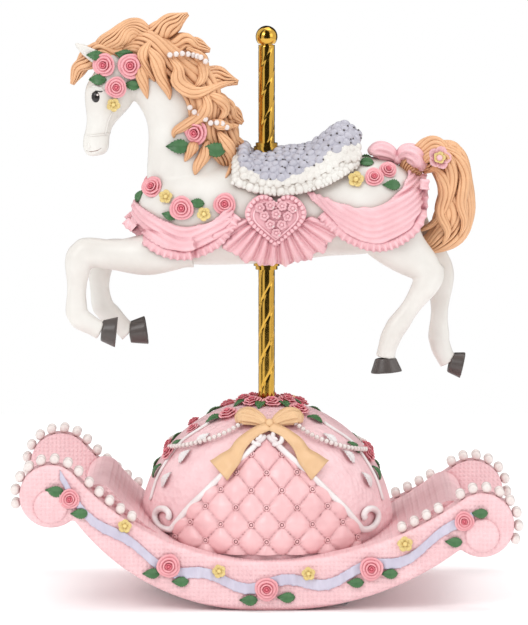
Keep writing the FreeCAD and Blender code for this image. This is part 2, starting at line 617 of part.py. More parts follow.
def bell(radius):
    """Hemisphere on a straight skirt, as a solid."""
    skirt = rod(radius, V(0, 0, 0), SPHERE_FOOT)
    return union([skirt, Part.makeSphere(radius, SPHERE_FOOT)])


def dome(rockers):
    """Hollow dome standing on the floor and over the rockers' inner rims, with a hub for the pole."""
    shell = bell(DOME_RADIUS).cut(bell(DOME_INNER))
    hub_top = V(0, 0, DOME_CENTRE_Z + DOME_RADIUS - 0.5 * DOME_WALL)
    hub = rod(DOME_HUB_RADIUS, V(0, 0, DOME_HUB_FOOT_Z), hub_top)
    body = union([shell, hub]).common(above_floor())
    bore = rod(POLE_RADIUS + RUNNING, V(0, 0, 0), V(0, 0, 2 * DOME_RADIUS))
    return largest(body.cut(bore).cut(Part.makeCompound(rockers)))


def dome_skin(stand, side):
    """Half of a thin skin over the dome, on one side of the pole."""
    skin = Part.makeSphere(DOME_RADIUS + stand, SPHERE_FOOT).cut(bell(DOME_RADIUS))
    reach = 2 * DOME_RADIUS
    low, high = sorted((0.0, side * reach))
    return skin.common(plate(V(-reach, low, 0), V(reach, high, reach)))


def quilt_panel(side, carriers):
    """Tufted panel on one side of the dome, bowed in at its sides, down to the rocker."""
    middle = (0.5 * QUILT_FOOT_X - QUILT_BOW_IN, 0.5 * (QUILT_APEX_Z + QUILT_FOOT_Z))
    foot = (QUILT_FOOT_X, QUILT_FOOT_Z)
    corner = (QUILT_FOOT_X, ROCKER_DEPTH)
    apex = (0.0, QUILT_APEX_Z)
    edges = [three_point_arc(apex, middle, foot), side_line(foot, corner),
             side_line(corner, (-corner[0], corner[1])),
             side_line((-corner[0], corner[1]), (-foot[0], foot[1])),
             three_point_arc((-foot[0], foot[1]), (-middle[0], middle[1]), apex)]
    reach = 2 * DOME_RADIUS
    return clear_of(dome_skin(QUILT_STAND, side).common(side_prism(edges, -reach, reach)), carriers)


def scroll_moulding(side, end, carriers):
    """White moulding down one edge of the quilt panel, ending in a round eye."""
    reach = 2 * DOME_RADIUS
    wide = SCROLL_TRIM_WIDTH
    middle = (end * (0.5 * QUILT_FOOT_X - QUILT_BOW_IN), 0.5 * (QUILT_APEX_Z + QUILT_FOOT_Z))
    inner = [(0.0, QUILT_APEX_Z), middle, (end * QUILT_FOOT_X, QUILT_FOOT_Z)]
    outer = [(x + end * wide, z + 0.6 * wide) for x, z in inner]
    outer[0] = (0.0, QUILT_APEX_Z + 1.6 * wide)
    edges = [three_point_arc(*inner), side_line(inner[2], outer[2]),
             three_point_arc(*reversed(outer)), side_line(outer[0], inner[0])]
    eye_middle = V(end * (QUILT_FOOT_X + SCROLL_EYE_RADIUS), 0, QUILT_FOOT_Z)
    eye = rod(SCROLL_EYE_RADIUS, eye_middle.sub(Y_AXIS * reach), eye_middle.add(Y_AXIS * reach))
    stencil = union([side_prism(edges, -reach, reach), eye])
    return clear_of(dome_skin(SCROLL_TRIM_STAND, side).common(stencil), carriers)


def pearl_row_places(end):
    """Places of a row of pearls in the side view, along the top edge and round the scroll."""
    scroll, top = scroll_centre(end), top_centre(end)
    on_top = toward(scroll, top, SCROLL_RADIUS[end])
    band_radius = top_radius(end) - PEARL_RADIUS - PRESSED
    places = []
    first = math.asin(PEARL_FIRST_X / top_radius(end))
    last = math.asin(abs(on_top[0]) / top_radius(end))
    steps = int((last - first) * band_radius / PEARL_PITCH)
    for index in range(steps):
        turn = first + index * PEARL_PITCH / band_radius
        places.append((end * band_radius * math.sin(turn), top[1] - band_radius * math.cos(turn)))
    scroll_radius = SCROLL_RADIUS[end] + PEARL_RADIUS + PRESSED
    start = bearing_of(scroll, on_top)
    for index in range(int(math.radians(PEARL_LAST_TURN) * scroll_radius / PEARL_PITCH)):
        turn = start - end * math.degrees(index * PEARL_PITCH / scroll_radius)
        places.append(turned_point(scroll, scroll_radius, turn))
    return places


def rocker_pearls():
    """Two rows of pearls on each rocker, along its rims."""
    pearls = []
    for side in (NEAR, FAR):
        for inset in (PEARL_ROW_INSET, ROCKER_WIDTH - PEARL_ROW_INSET):
            for end in (HEAD, TAIL):
                for x, z in pearl_row_places(end):
                    place = V(x, side * (ROCKER_OUTER_Y - inset), z)
                    pearls.append(Part.makeSphere(PEARL_RADIUS, place))
    return Part.makeCompound(pearls)


def bottom_cover():
    """Round cover under the movement, with holes for its screws, the arbor and the rocking arm."""
    body = rod(COVER_RADIUS, V(0, 0, COVER_FOOT_Z), V(0, 0, BOSS_FOOT_Z))
    for place in ring_places(COVER_SCREWS, COVER_SCREW_RING, COVER_FOOT_Z):
        body = body.cut(rod(SCREW_RADIUS, place, place.add(V(0, 0, COVER_THICK))))
    for x, y in BED_SCREW_PLACES:
        body = body.cut(rod(SCREW_RADIUS, V(x, y, 0), V(x, y, BOSS_FOOT_Z)))
    body = body.cut(rod(ARBOR_RADIUS + RUNNING, V(SPRING_X, 0, 0), V(SPRING_X, 0, BOSS_FOOT_Z)))
    slot = plate(V(ARM_X - ARM_SLOT, -ARM_SLOT, 0), V(ARM_X + ARM_SLOT, ARM_SLOT, BOSS_FOOT_Z))
    return body.cut(slot)


def screw(place, length):
    """Round-headed screw, head down, with its shank going up from the place."""
    head = rod(SCREW_HEAD_RADIUS, place.sub(V(0, 0, SCREW_HEAD)), place)
    slot = plate(place.add(V(-SCREW_HEAD_RADIUS, -0.3, -SCREW_HEAD)),
                 place.add(V(SCREW_HEAD_RADIUS, 0.3, -0.5 * SCREW_HEAD)))
    return union([head, rod(SCREW_RADIUS - PRESSED, place, place.add(V(0, 0, length)))]).cut(slot)


def cover_screws():
    """Screws that hold the cover to the floor's ring."""
    places = ring_places(COVER_SCREWS, COVER_SCREW_RING, COVER_FOOT_Z)
    return Part.makeCompound([screw(place, SCREW_LENGTH - CLEAR) for place in places])


# Pole

def pole():
    """Brass tube from inside the dome to the finial."""
    return tube(POLE_RADIUS, POLE_BORE, V(0, 0, POLE_FOOT_Z), V(0, 0, POLE_TOP_Z))


def finial():
    """Ball on top of the pole, with a stud in the tube."""
    centre = V(0, 0, POLE_TOP_Z + math.sqrt(FINIAL_RADIUS ** 2 - POLE_RADIUS ** 2))
    ball = Part.makeSphere(FINIAL_RADIUS, centre)
    reach = 2 * FINIAL_RADIUS
    ball = ball.cut(plate(V(-reach, -reach, POLE_TOP_Z - reach), V(reach, reach, POLE_TOP_Z)))
    stud = rod(POLE_BORE - PRESSED, V(0, 0, POLE_TOP_Z - FINIAL_STUD), centre)
    return union([ball, stud])


def collar(z, carriers):
    """Brass collar round the pole, seated on the horse."""
    body = tube(COLLAR_RADIUS, POLE_RADIUS + PRESSED, V(0, 0, z), V(0, 0, z + COLLAR_THICK))
    foot, top = V(0, 0, z - COLLAR_THICK), V(0, 0, z + 2 * COLLAR_THICK)
    hub = tube(0.85 * COLLAR_RADIUS, POLE_RADIUS + PRESSED, foot, top)
    return clear_of(union([body, hub]), carriers)


def pole_retainer():
    """Hexagon nut that holds the pole under the dome's hub."""
    corners = [turned_point((0.0, 0.0), NUT_RADIUS, 60 * index) for index in range(6)]
    points = [V(x, y, DOME_HUB_FOOT_Z - NUT_THICK) for x, y in corners]
    body = Part.Face(Part.makePolygon(points + points[:1])).extrude(V(0, 0, NUT_THICK))
    return body.cut(rod(POLE_RADIUS + PRESSED, V(0, 0, 0), V(0, 0, DOME_HUB_FOOT_Z)))


def horse_blank():
    """Torso, neck, head and ears in one casting, before it is bored for the pole."""
    ears = [limb(EAR, y=side * EAR_Y) for side in (NEAR, FAR)]
    return union([limb(TORSO), limb(NECK), limb(SKULL)] + ears)


def leg(runs, side, body):
    """Leg of three runs that meet at the joints, set against the body."""
    return clear_of(union([limb(run, y=side * HORSE_LEG_Y) for run in runs]), [body])


def hoof(runs, sole, side, leg_shape):
    """Flared hoof on the end of a leg."""
    x, z, high, wide = runs[-1][-1]
    return clear_of(limb([(x, z, high, wide), sole], y=side * HORSE_LEG_Y), [leg_shape])


def wrapped(shell, upper, lower):
    """Piece of a shell over the horse, between an upper and a lower curve of the side view."""
    edges = [side_curve(upper), side_line(upper[-1], lower[0]),
             side_curve(lower), side_line(lower[-1], upper[0])]
    reach = shell.BoundBox.YMax
    return shell.common(side_prism(edges, -reach, reach))


def saddle_blank(edge, grow):
    """Solid over the back and inside it, above an edge curve of the side view."""
    high = POLE_TOP_Z
    tail_x = SADDLE[-1][0] + SEAT_THICK
    corners = [edge[-1], (tail_x, edge[-1][1]), (tail_x, high), (edge[0][0], high), edge[0]]
    edges = [side_curve(edge)] + [side_line(a, b) for a, b in zip(corners, corners[1:])]
    blank = limb(SADDLE, grow=grow)
    reach = blank.BoundBox.YMax
    return blank.common(side_prism(edges, -reach, reach))


def drape(upper, lower, near_runs, far_runs, body):
    """Draped cloth over the horse and the tops of two legs, from an upper curve to its hem."""
    tops = [(near_runs[0], NEAR * HORSE_LEG_Y), (far_runs[0], FAR * HORSE_LEG_Y)]
    covers = [limb(run, y=y, grow=DRAPE_THICK) for run, y in tops]
    shell = union([limb(TORSO, grow=DRAPE_THICK)] + covers)
    cloth = wrapped(shell, upper, lower).cut(body)
    for run, y in tops:
        cloth = cloth.cut(limb(run, y=y))
    return Part.makeCompound([part for part in cloth.Solids if part.Volume > DRAPE_THICK ** 3])


def heart_edges(centre, size):
    """Heart in the side view, with two round lobes and a pointed foot."""
    x, z = centre
    lobe = 0.5 * size
    dip = (x, z + 0.55 * size)
    foot = (x, z - 1.15 * size)
    edges = []
    for end in (HEAD, TAIL):
        crown = (x + end * lobe, z + 0.95 * size)
        shoulder = (x + end * 1.08 * size, z + 0.25 * size)
        edges.append(side_curve([dip, crown, shoulder, (x + end * 0.6 * size, z - 0.55 * size), foot]))
    return edges


def heart_pad(side, body):
    """Padded heart on one side of the horse."""
    low, high = sorted((0.0, side * DOME_RADIUS))
    prism = side_prism(Part.__sortEdges__(heart_edges(HEART_CENTRE, HEART_SIZE)), low, high)
    return clear_of(limb(TORSO, grow=HEART_THICK).common(prism), [body])


def heart_ruffle(side, body, pad):
    """Scalloped ruffle under a heart pad."""
    x, z = HEART_CENTRE
    scallops, steps = 9, 36
    points = []
    for index in range(steps + 1):
        angle = math.pi * (1.0 + index / steps)
        radius = RUFFLE_RADIUS + RUFFLE_SCALLOP * math.cos(2 * scallops * angle)
        points.append((x + RUFFLE_WIDEN * radius * math.cos(angle), z + radius * math.sin(angle)))
    low, high = sorted((0.0, side * DOME_RADIUS))
    prism = side_prism([side_curve(points), side_line(points[-1], points[0])], low, high)
    return clear_of(limb(TORSO, grow=RUFFLE_THICK).common(prism), [pad, body])


def near_surface_y(x, z, carriers):
    """How far out to the near side the carriers reach at a place of the side view."""
    ray = Part.makeLine(V(x, NEAR * 2 * DOME_RADIUS, z), V(x, 0, z))
    below = [carrier for carrier in carriers if carrier.BoundBox.intersect(ray.BoundBox)]
    return min(vertex.Y for carrier in below for vertex in ray.common(carrier).Vertexes)


def on_horse(shape, x, z, carriers, taken):
    """An ornament set on the near side of the horse at a place of the side view."""
    placed = facing(shape, V(x, near_surface_y(x, z, carriers), z), Y_AXIS * NEAR)
    seated = clear_of(placed, carriers)
    seated.translate(Y_AXIS * (NEAR * GLUE_LINE))
    return clear_of(seated, taken)


def both_sides(shapes):
    """Shapes of the near side with their mirror images on the far side."""
    return Part.makeCompound(shapes + [shape.mirror(V(0, 0, 0), Y_AXIS) for shape in shapes])


def on_dome(shape, x, z, side, carriers):
    """An ornament set on the dome, facing straight out of it."""
    y = side * math.sqrt(DOME_RADIUS ** 2 - x ** 2 - (z - DOME_CENTRE_Z) ** 2)
    place = V(x, y, z)
    return clear_of(facing(shape, place, place.sub(SPHERE_FOOT)), carriers)


def on_rocker(shape, x, z, side, carriers):
    """An ornament set on a rocker's outer face."""
    return clear_of(facing(shape, V(x, side * ROCKER_OUTER_Y, z), V(0, side, 0)), carriers)


def ribbon_middle(x):
    """Height of the ribbon's middle line on a rocker."""
    end = HEAD if x < 0 else TAIL
    rock_x, rock_z = rock_centre(end)
    across = max(abs(x) - FLAT_HALF, 0.0)
    under = rock_z - math.sqrt(ROCK_RADIUS[end] ** 2 - across ** 2)
    over = ROCKER_DEPTH + top_radius(end) - math.sqrt(top_radius(end) ** 2 - x ** 2)
    wave = RIBBON_WAVE * math.sin(2 * math.pi * x / RIBBON_WAVE_LENGTH)
    return under + RIBBON_LEVEL * (over - under) + wave


def garland_ribbon(side, carriers):
    """Waving ribbon along a rocker's outer face."""
    steps = 26
    places = [RIBBON_END_X * (2 * index / steps - 1) for index in range(steps + 1)]
    upper = [(x, ribbon_middle(x) + RIBBON_HALF) for x in places]
    lower = [(x, ribbon_middle(x) - RIBBON_HALF) for x in reversed(places)]
    edges = [side_curve(upper), side_line(upper[-1], lower[0]),
             side_curve(lower), side_line(lower[-1], upper[0])]
    low, high = sorted((side * ROCKER_OUTER_Y, side * (ROCKER_OUTER_Y + RIBBON_THICK)))
    return clear_of_all(side_prism(edges, low, high), carriers)


def clear_of_all(piece, carriers):
    """Every solid that is left of a piece when its carriers are taken away."""
    for carrier in carriers:
        for solid in carrier.Solids:
            if piece.BoundBox.intersect(solid.BoundBox):
                piece = piece.cut(solid)
    return Part.makeCompound(piece.Solids)


def garland(side, rocker_shape):
    """Roses, blossoms, leaves and ribbon on one rocker."""
    roses = [on_rocker(rose(size), x, z, side, [rocker_shape]) for x, z, size in GARLAND_ROSES]
    blossoms = [on_rocker(blossom(size), x, z, side, [rocker_shape] + roses)
                for x, z, size in GARLAND_BLOSSOMS]
    taken = [rocker_shape] + roses + blossoms
    leaves = [on_rocker(leaf(size, turn), x, z, side, taken) for x, z, size, turn in GARLAND_LEAVES]
    ribbon = garland_ribbon(side, taken + leaves)
    return roses, blossoms, leaves, [ribbon]


def bow_places(points, end):
    """Corners of a bow's loop or tail, on one side of its knot."""
    return [(BOW_X + end * x, BOW_Z + z) for x, z in points]


def dome_bow(side, carriers):
    """Bow with two loops and two tails on the dome."""
    reach = 2 * DOME_RADIUS
    parts = [rod(BOW_KNOT, V(BOW_X, -reach, BOW_Z), V(BOW_X, reach, BOW_Z))]
    for end in (HEAD, TAIL):
        loop = [side_curve(bow_places(BOW_LOOP, end), closed=True)]
        corners = bow_places(BOW_TAIL, end)
        tail = [side_line(first, last) for first, last in zip(corners, corners[1:] + corners[:1])]
        parts += [side_prism(loop, -reach, reach), side_prism(tail, -reach, reach)]
    return clear_of(dome_skin(BOW_STAND, side).common(union(parts)), carriers)


def rump_bow(carriers):
    """Two-looped bow on the rump."""
    return clear_of(union([limb(loop) for loop in RUMP_BOW_LOOPS]), carriers)


# Movement

def gear(teeth, module, width, phase):
    """Spur gear about +Z from z = 0, with straight-sided teeth and a tooth at the phase angle."""
    pitch = 0.5 * module * teeth
    half = TOOTH_SHARE * math.pi / teeth
    slope = math.tan(math.radians(PRESSURE_ANGLE)) * module / pitch
    root, tip = pitch - DEDENDUM * module, pitch + ADDENDUM * module
    corners = []
    for tooth in range(teeth):
        middle = math.radians(phase) + 2 * math.pi * tooth / teeth
        for radius, angle in ((root, -half - DEDENDUM * slope), (tip, -half + ADDENDUM * slope),
                              (tip, half - ADDENDUM * slope), (root, half + DEDENDUM * slope)):
            corners.append(V(radius * math.cos(middle + angle), radius * math.sin(middle + angle), 0))
    return Part.Face(Part.makePolygon(corners + corners[:1])).extrude(V(0, 0, width))


def along_x(shape, x, y, z):
    """A shape made about +Z, turned so that its X, Y and Z run along Y, Z and X, and moved to its place."""
    moved = shape.copy()
    turn = FreeCAD.Rotation(Y_AXIS, Z_AXIS, X_AXIS, "XYZ")
    moved.Placement = FreeCAD.Placement(V(x, y, z), turn)
    return moved


def movement_bedplate():
    """Cast bedplate on the cover, drilled for the arbor and its own screws."""
    low = V(-BEDPLATE_HEAD_X, -BEDPLATE_NEAR_Y, BOSS_FOOT_Z)
    body = plate(low, V(BEDPLATE_TAIL_X, BEDPLATE_FAR_Y, BED_TOP_Z))
    body = body.common(rod(WELL_RADIUS - CLEAR, V(0, 0, 0), V(0, 0, DOME_RADIUS)))
    body = body.cut(rod(ARBOR_RADIUS + RUNNING, V(SPRING_X, 0, 0), V(SPRING_X, 0, BED_TOP_Z)))
    for x, y in BED_SCREW_PLACES:
        body = body.cut(rod(SCREW_RADIUS, V(x, y, 0), V(x, y, BED_TOP_Z)))
    return body


def bedplate_screws():
    """Screws up through the cover into the bedplate."""
    length = COVER_THICK + BEDPLATE_THICK - CLEAR
    return Part.makeCompound([screw(V(x, y, COVER_FOOT_Z), length) for x, y in BED_SCREW_PLACES])


def spring_housing():
    """Drum over the mainspring, closed at the top round the arbor."""
    foot, top = V(SPRING_X, 0, BED_TOP_Z), V(SPRING_X, 0, BED_TOP_Z + SPRING_HEIGHT)
    inside = rod(SPRING_RADIUS - SPRING_WALL, foot, top.sub(V(0, 0, SPRING_WALL)))
    return rod(SPRING_RADIUS, foot, top).cut(inside).cut(rod(ARBOR_RADIUS + RUNNING, foot, top))


def mainspring():
    """Flat band wound round the arbor, hooked to neither end."""
    inner = ARBOR_RADIUS + CLEAR + BAND_THICK
    outer = SPRING_RADIUS - SPRING_WALL - BAND_THICK - RUNNING
    steps = 14 * BAND_TURNS
    sides = []
    for offset in (-0.5 * BAND_THICK, 0.5 * BAND_THICK):
        points = []
        for index in range(steps + 1):
            angle = 2 * math.pi * BAND_TURNS * index / steps
            radius = inner + (outer - inner) * index / steps + offset
            x, y = SPRING_X + radius * math.cos(angle), radius * math.sin(angle)
            points.append(V(x, y, BED_TOP_Z + RUNNING))
        curve = Part.BSplineCurve()
        curve.interpolate(points)
        sides.append((curve.toShape(), points[0], points[-1]))
    ends = [Part.LineSegment(sides[0][stop], sides[1][stop]).toShape() for stop in (1, 2)]
    wire = Part.Wire(Part.__sortEdges__([sides[0][0], ends[1], sides[1][0], ends[0]]))
    return Part.Face(wire).extrude(V(0, 0, SPRING_HEIGHT - SPRING_WALL - 4 * RUNNING))


def winding_arbor():
    """Arbor that carries the key at its foot and the drive wheel at its head."""
    foot = V(SPRING_X, 0, KEY_FOOT_Z + 0.5 * KEY_WING)
    return rod(ARBOR_RADIUS, foot, V(SPRING_X, 0, CROWN_FOOT_Z + CROWN_DISC + CLEAR))


def drive_wheel():
    """Crown wheel with its teeth standing up to the cylinder's pinion."""
    foot, top = CROWN_FOOT_Z, CROWN_FOOT_Z + CROWN_DISC
    rim = CROWN_RADIUS + 0.5 * CROWN_FACE
    inner = CROWN_RADIUS - 0.5 * CROWN_FACE
    half = 0.5 * TOOTH_SHARE * math.pi * CROWN_MODULE
    slope = math.tan(math.radians(PRESSURE_ANGLE))
    wide = half + DEDENDUM * CROWN_MODULE * slope
    narrow = half - ADDENDUM * CROWN_MODULE * slope
    tip = CROWN_PITCH_Z + ADDENDUM * CROWN_MODULE
    corners = [V(inner, -wide, top - RUNNING), V(inner, -narrow, tip), V(inner, narrow, tip),
               V(inner, wide, top - RUNNING)]
    tooth = Part.Face(Part.makePolygon(corners + corners[:1])).extrude(V(CROWN_FACE, 0, 0))
    shapes = [rod(rim, V(0, 0, foot), V(0, 0, top))]
    for index in range(CROWN_TEETH):
        turned = tooth.copy()
        turned.rotate(V(0, 0, 0), Z_AXIS, 360.0 * index / CROWN_TEETH)
        shapes.append(turned)
    body = union(shapes).cut(rod(ARBOR_RADIUS + PRESSED, V(0, 0, foot), V(0, 0, tip)))
    body.translate(V(SPRING_X, 0, 0))
    return body


def winding_key():
    """Butterfly key on the arbor's foot, under the cover."""
    half = 0.5 * KEY_SPAN
    eye = 0.5 * KEY_WING
    middle = KEY_FOOT_Z + eye
    thick = V(0, 0.5 * KEY_THICK, 0)
    low = V(SPRING_X - half + eye, -thick.y, KEY_FOOT_Z)
    high = V(SPRING_X + half - eye, thick.y, KEY_FOOT_Z + KEY_WING)
    shapes = [plate(low, high),
              rod(2 * ARBOR_RADIUS, V(SPRING_X, 0, KEY_FOOT_Z), V(SPRING_X, 0, COVER_FOOT_Z - CLEAR))]
    holes = [rod(ARBOR_RADIUS + PRESSED, V(SPRING_X, 0, middle), V(SPRING_X, 0, COVER_FOOT_Z))]
    for end in (HEAD, TAIL):
        centre = V(SPRING_X + end * (half - eye), 0, middle)
        shapes.append(rod(eye, centre.sub(thick), centre.add(thick)))
        holes.append(rod(0.5 * eye, centre.sub(thick), centre.add(thick)))
    return union(shapes).cut(Part.makeCompound(holes))


def pin_cylinder():
    """Brass sleeve with end walls, and the tune's pins on it in tracks."""
    foot, top = V(DRUM_X, 0, CYLINDER_Z), V(DRUM_X + CYLINDER_LENGTH, 0, CYLINDER_Z)
    end_wall = X_AXIS * CYLINDER_WALL
    inside = rod(CYLINDER_RADIUS - CYLINDER_WALL, foot.add(end_wall), top.sub(end_wall))
    body = rod(CYLINDER_RADIUS, foot, top).cut(inside).cut(rod(SHAFT_RADIUS + PRESSED, foot, top))
    pins = []
    for track in range(PIN_TRACKS):
        x = DRUM_X + CYLINDER_LENGTH * (track + 0.5) / PIN_TRACKS
        for pin in range(PINS_PER_TRACK):
            turn = 2 * math.pi * (pin / PINS_PER_TRACK + 0.37 * track + 0.05 * (pin * track % 3))
            out = V(0, math.cos(turn), math.sin(turn))
            axis = V(x, 0, CYLINDER_Z)
            pins.append(rod(PIN_RADIUS, axis.add(out * (CYLINDER_RADIUS - 0.5 * CYLINDER_WALL)),
                            axis.add(out * (CYLINDER_RADIUS + PIN_RISE))))
    return union([body] + pins)


def cylinder_arbor():
    """Shaft through the cylinder, cut with the pinion that the drive wheel turns."""
    foot = PINION_X - 0.5 * CROWN_FACE
    shaft = rod(SHAFT_RADIUS, V(foot, 0, CYLINDER_Z), V(CAM_X + CAM_WIDTH, 0, CYLINDER_Z))
    half_step = 180.0 / PINION_TEETH
    pinion = along_x(gear(PINION_TEETH, CROWN_MODULE, CROWN_FACE, half_step - 90.0), foot, 0, CYLINDER_Z)
    return union([shaft, pinion])


def cylinder_gear():
    """Large gear on the cylinder's shaft, which drives the governor."""
    toward_governor = math.degrees(math.atan2(GOVERNOR_Z - CYLINDER_Z, GOVERNOR_Y))
    wheel = along_x(gear(GEAR_TEETH, GEAR_MODULE, GEAR_WIDTH, toward_governor), GEAR_X, 0, CYLINDER_Z)
    foot, top = V(GEAR_X, 0, CYLINDER_Z), V(GEAR_X + GEAR_WIDTH, 0, CYLINDER_Z)
    return wheel.cut(rod(SHAFT_RADIUS + PRESSED, foot, top))


def rocking_cam():
    """Eccentric disc on the shaft's end, which presses the rocking arm down once a turn."""
    foot = V(CAM_X, 0, CYLINDER_Z)
    centre = foot.sub(Z_AXIS * CAM_THROW)
    disc = rod(CAM_RADIUS - CAM_THROW, centre, centre.add(X_AXIS * CAM_WIDTH))
    return disc.cut(rod(SHAFT_RADIUS + PRESSED, foot, foot.add(X_AXIS * CAM_WIDTH)))


def bearing_posts():
    """Two posts that carry the cylinder's shaft, at the pinion and at the gear."""
    posts = []
    for x in (POST_HEAD_X, POST_TAIL_X):
        crown = V(x, 0, CYLINDER_Z)
        column = plate(V(x, -POST_HALF, BED_TOP_Z), V(x + POST_THICK, POST_HALF, CYLINDER_Z))
        eye = rod(POST_HALF, crown, crown.add(X_AXIS * POST_THICK))
        bore = rod(SHAFT_RADIUS + RUNNING, crown, crown.add(X_AXIS * POST_THICK))
        posts.append(union([column, eye]).cut(bore))
    return Part.makeCompound(posts)


def comb():
    """Steel comb with its teeth reaching to the cylinder."""
    top = COMB_FOOT_Z + COMB_THICK
    body = plate(V(DRUM_X, COMB_BACK_Y, COMB_FOOT_Z), V(DRUM_X + CYLINDER_LENGTH, COMB_TIP_Y, top))
    step = CYLINDER_LENGTH / COMB_TEETH
    half_slot = 0.15 * step
    slots = []
    for index in range(1, COMB_TEETH):
        x = DRUM_X + index * step
        slots.append(plate(V(x - half_slot, COMB_ROOT_Y, COMB_FOOT_Z), V(x + half_slot, COMB_TIP_Y, top)))
    body = body.cut(Part.makeCompound(slots))
    return body.cut(comb_screw_holes())


def comb_screw_holes():
    """Holes for the comb's screws, through the comb and into its support."""
    y = 0.5 * (COMB_ROOT_Y + COMB_BACK_Y)
    low, high = BED_TOP_Z + COMB_THICK, CYLINDER_Z + COMB_THICK
    return Part.makeCompound([rod(SCREW_RADIUS, V(x, y, low), V(x, y, high)) for x in COMB_SCREW_XS])


def comb_support():
    """Block on the bedplate that holds the comb level with the cylinder."""
    block = plate(V(DRUM_X, COMB_BACK_Y, BED_TOP_Z), V(DRUM_X + CYLINDER_LENGTH, COMB_ROOT_Y, COMB_FOOT_Z))
    return block.cut(comb_screw_holes())


def comb_screws():
    """Screws that clamp the comb on its support."""
    y = 0.5 * (COMB_ROOT_Y + COMB_BACK_Y)
    length = COMB_FOOT_Z + COMB_THICK - BED_TOP_Z - COMB_THICK - CLEAR
    screws = []
    for x in COMB_SCREW_XS:
        one = screw(V(0, 0, 0), length)
        one.rotate(V(0, 0, 0), X_AXIS, 180)
        one.translate(V(x, y, COMB_FOOT_Z + COMB_THICK))
        screws.append(one)
    return Part.makeCompound(screws)


def governor_frame():
    """Frame with two cheeks for the governor wheel and a bridge and foot for the worm."""
    shapes = []
    for x in (FRAME_HEAD_X, FRAME_TAIL_X - FRAME_PLATE):
        high = V(x + FRAME_PLATE, FRAME_FAR_Y, BRIDGE_Z + FRAME_PLATE)
        shapes.append(plate(V(x, FRAME_NEAR_Y, BED_TOP_Z), high))
    bridge_near = WORM_Y - BRIDGE_HALF
    for z in (BED_TOP_Z, BRIDGE_Z):
        shapes.append(plate(V(FRAME_HEAD_X, bridge_near, z), V(FRAME_TAIL_X, FRAME_FAR_Y, z + FRAME_PLATE)))
    body = union(shapes)
    head, tail = V(FRAME_HEAD_X, GOVERNOR_Y, GOVERNOR_Z), V(FRAME_TAIL_X, GOVERNOR_Y, GOVERNOR_Z)
    shaft = rod(GOVERNOR_SHAFT + RUNNING, head, tail)
    worm = rod(WORM_SHAFT + RUNNING, V(WORM_X, WORM_Y, BED_TOP_Z), V(WORM_X, WORM_Y, BRIDGE_Z + FRAME_PLATE))
    return body.cut(shaft).cut(worm)


def governor_wheel():
    """Governor shaft with the pinion outside its frame and the worm wheel inside it."""
    toward_gear = math.degrees(math.atan2(CYLINDER_Z - GOVERNOR_Z, -GOVERNOR_Y))
    half_step = 180.0 / FLY_PINION_TEETH
    pinion = gear(FLY_PINION_TEETH, GEAR_MODULE, GEAR_WIDTH, toward_gear + half_step)
    wheel = gear(WORM_WHEEL_TEETH, WORM_MODULE, WORM_WHEEL_WIDTH, 0.0)
    head = V(FRAME_HEAD_X, GOVERNOR_Y, GOVERNOR_Z)
    shaft = rod(GOVERNOR_SHAFT, head, V(GEAR_X + GEAR_WIDTH, GOVERNOR_Y, GOVERNOR_Z))
    return union([shaft, along_x(pinion, GEAR_X, GOVERNOR_Y, GOVERNOR_Z),
                  along_x(wheel, WORM_WHEEL_X, GOVERNOR_Y, GOVERNOR_Z)])


def air_fly():
    """Worm on an upright shaft, with the two-bladed fly over the bridge."""
    core = WORM_RADIUS - DEDENDUM * WORM_MODULE
    tip = WORM_RADIUS + ADDENDUM * WORM_MODULE
    length = WORM_TURNS * WORM_LEAD
    foot_z = GOVERNOR_Z - 0.5 * length - 0.25 * WORM_LEAD
    helix = Part.makeHelix(WORM_LEAD, length, core)
    half_root = 0.5 * TOOTH_SHARE * WORM_LEAD
    half_tip = 0.5 * half_root
    sunk = core - 2 * RUNNING
    profile = Part.makePolygon([V(sunk, 0, -half_root), V(tip, 0, -half_tip), V(tip, 0, half_tip),
                                V(sunk, 0, half_root), V(sunk, 0, -half_root)])
    thread = Part.Wire(helix.Edges).makePipeShell([profile], True, True)
    body = union([thread, rod(core, V(0, 0, -half_root - CLEAR), V(0, 0, length + half_root + CLEAR))])
    body.translate(V(WORM_X, WORM_Y, foot_z))
    blade_foot = BRIDGE_Z + FRAME_PLATE + CLEAR
    blade_top = blade_foot + FLY_HEIGHT
    blade = plate(V(WORM_X - FLY_SPAN, WORM_Y - FLY_THICK, blade_foot),
                  V(WORM_X + FLY_SPAN, WORM_Y + FLY_THICK, blade_top))
    shaft = rod(WORM_SHAFT, V(WORM_X, WORM_Y, BED_TOP_Z), V(WORM_X, WORM_Y, blade_top))
    return union([body, shaft, blade])


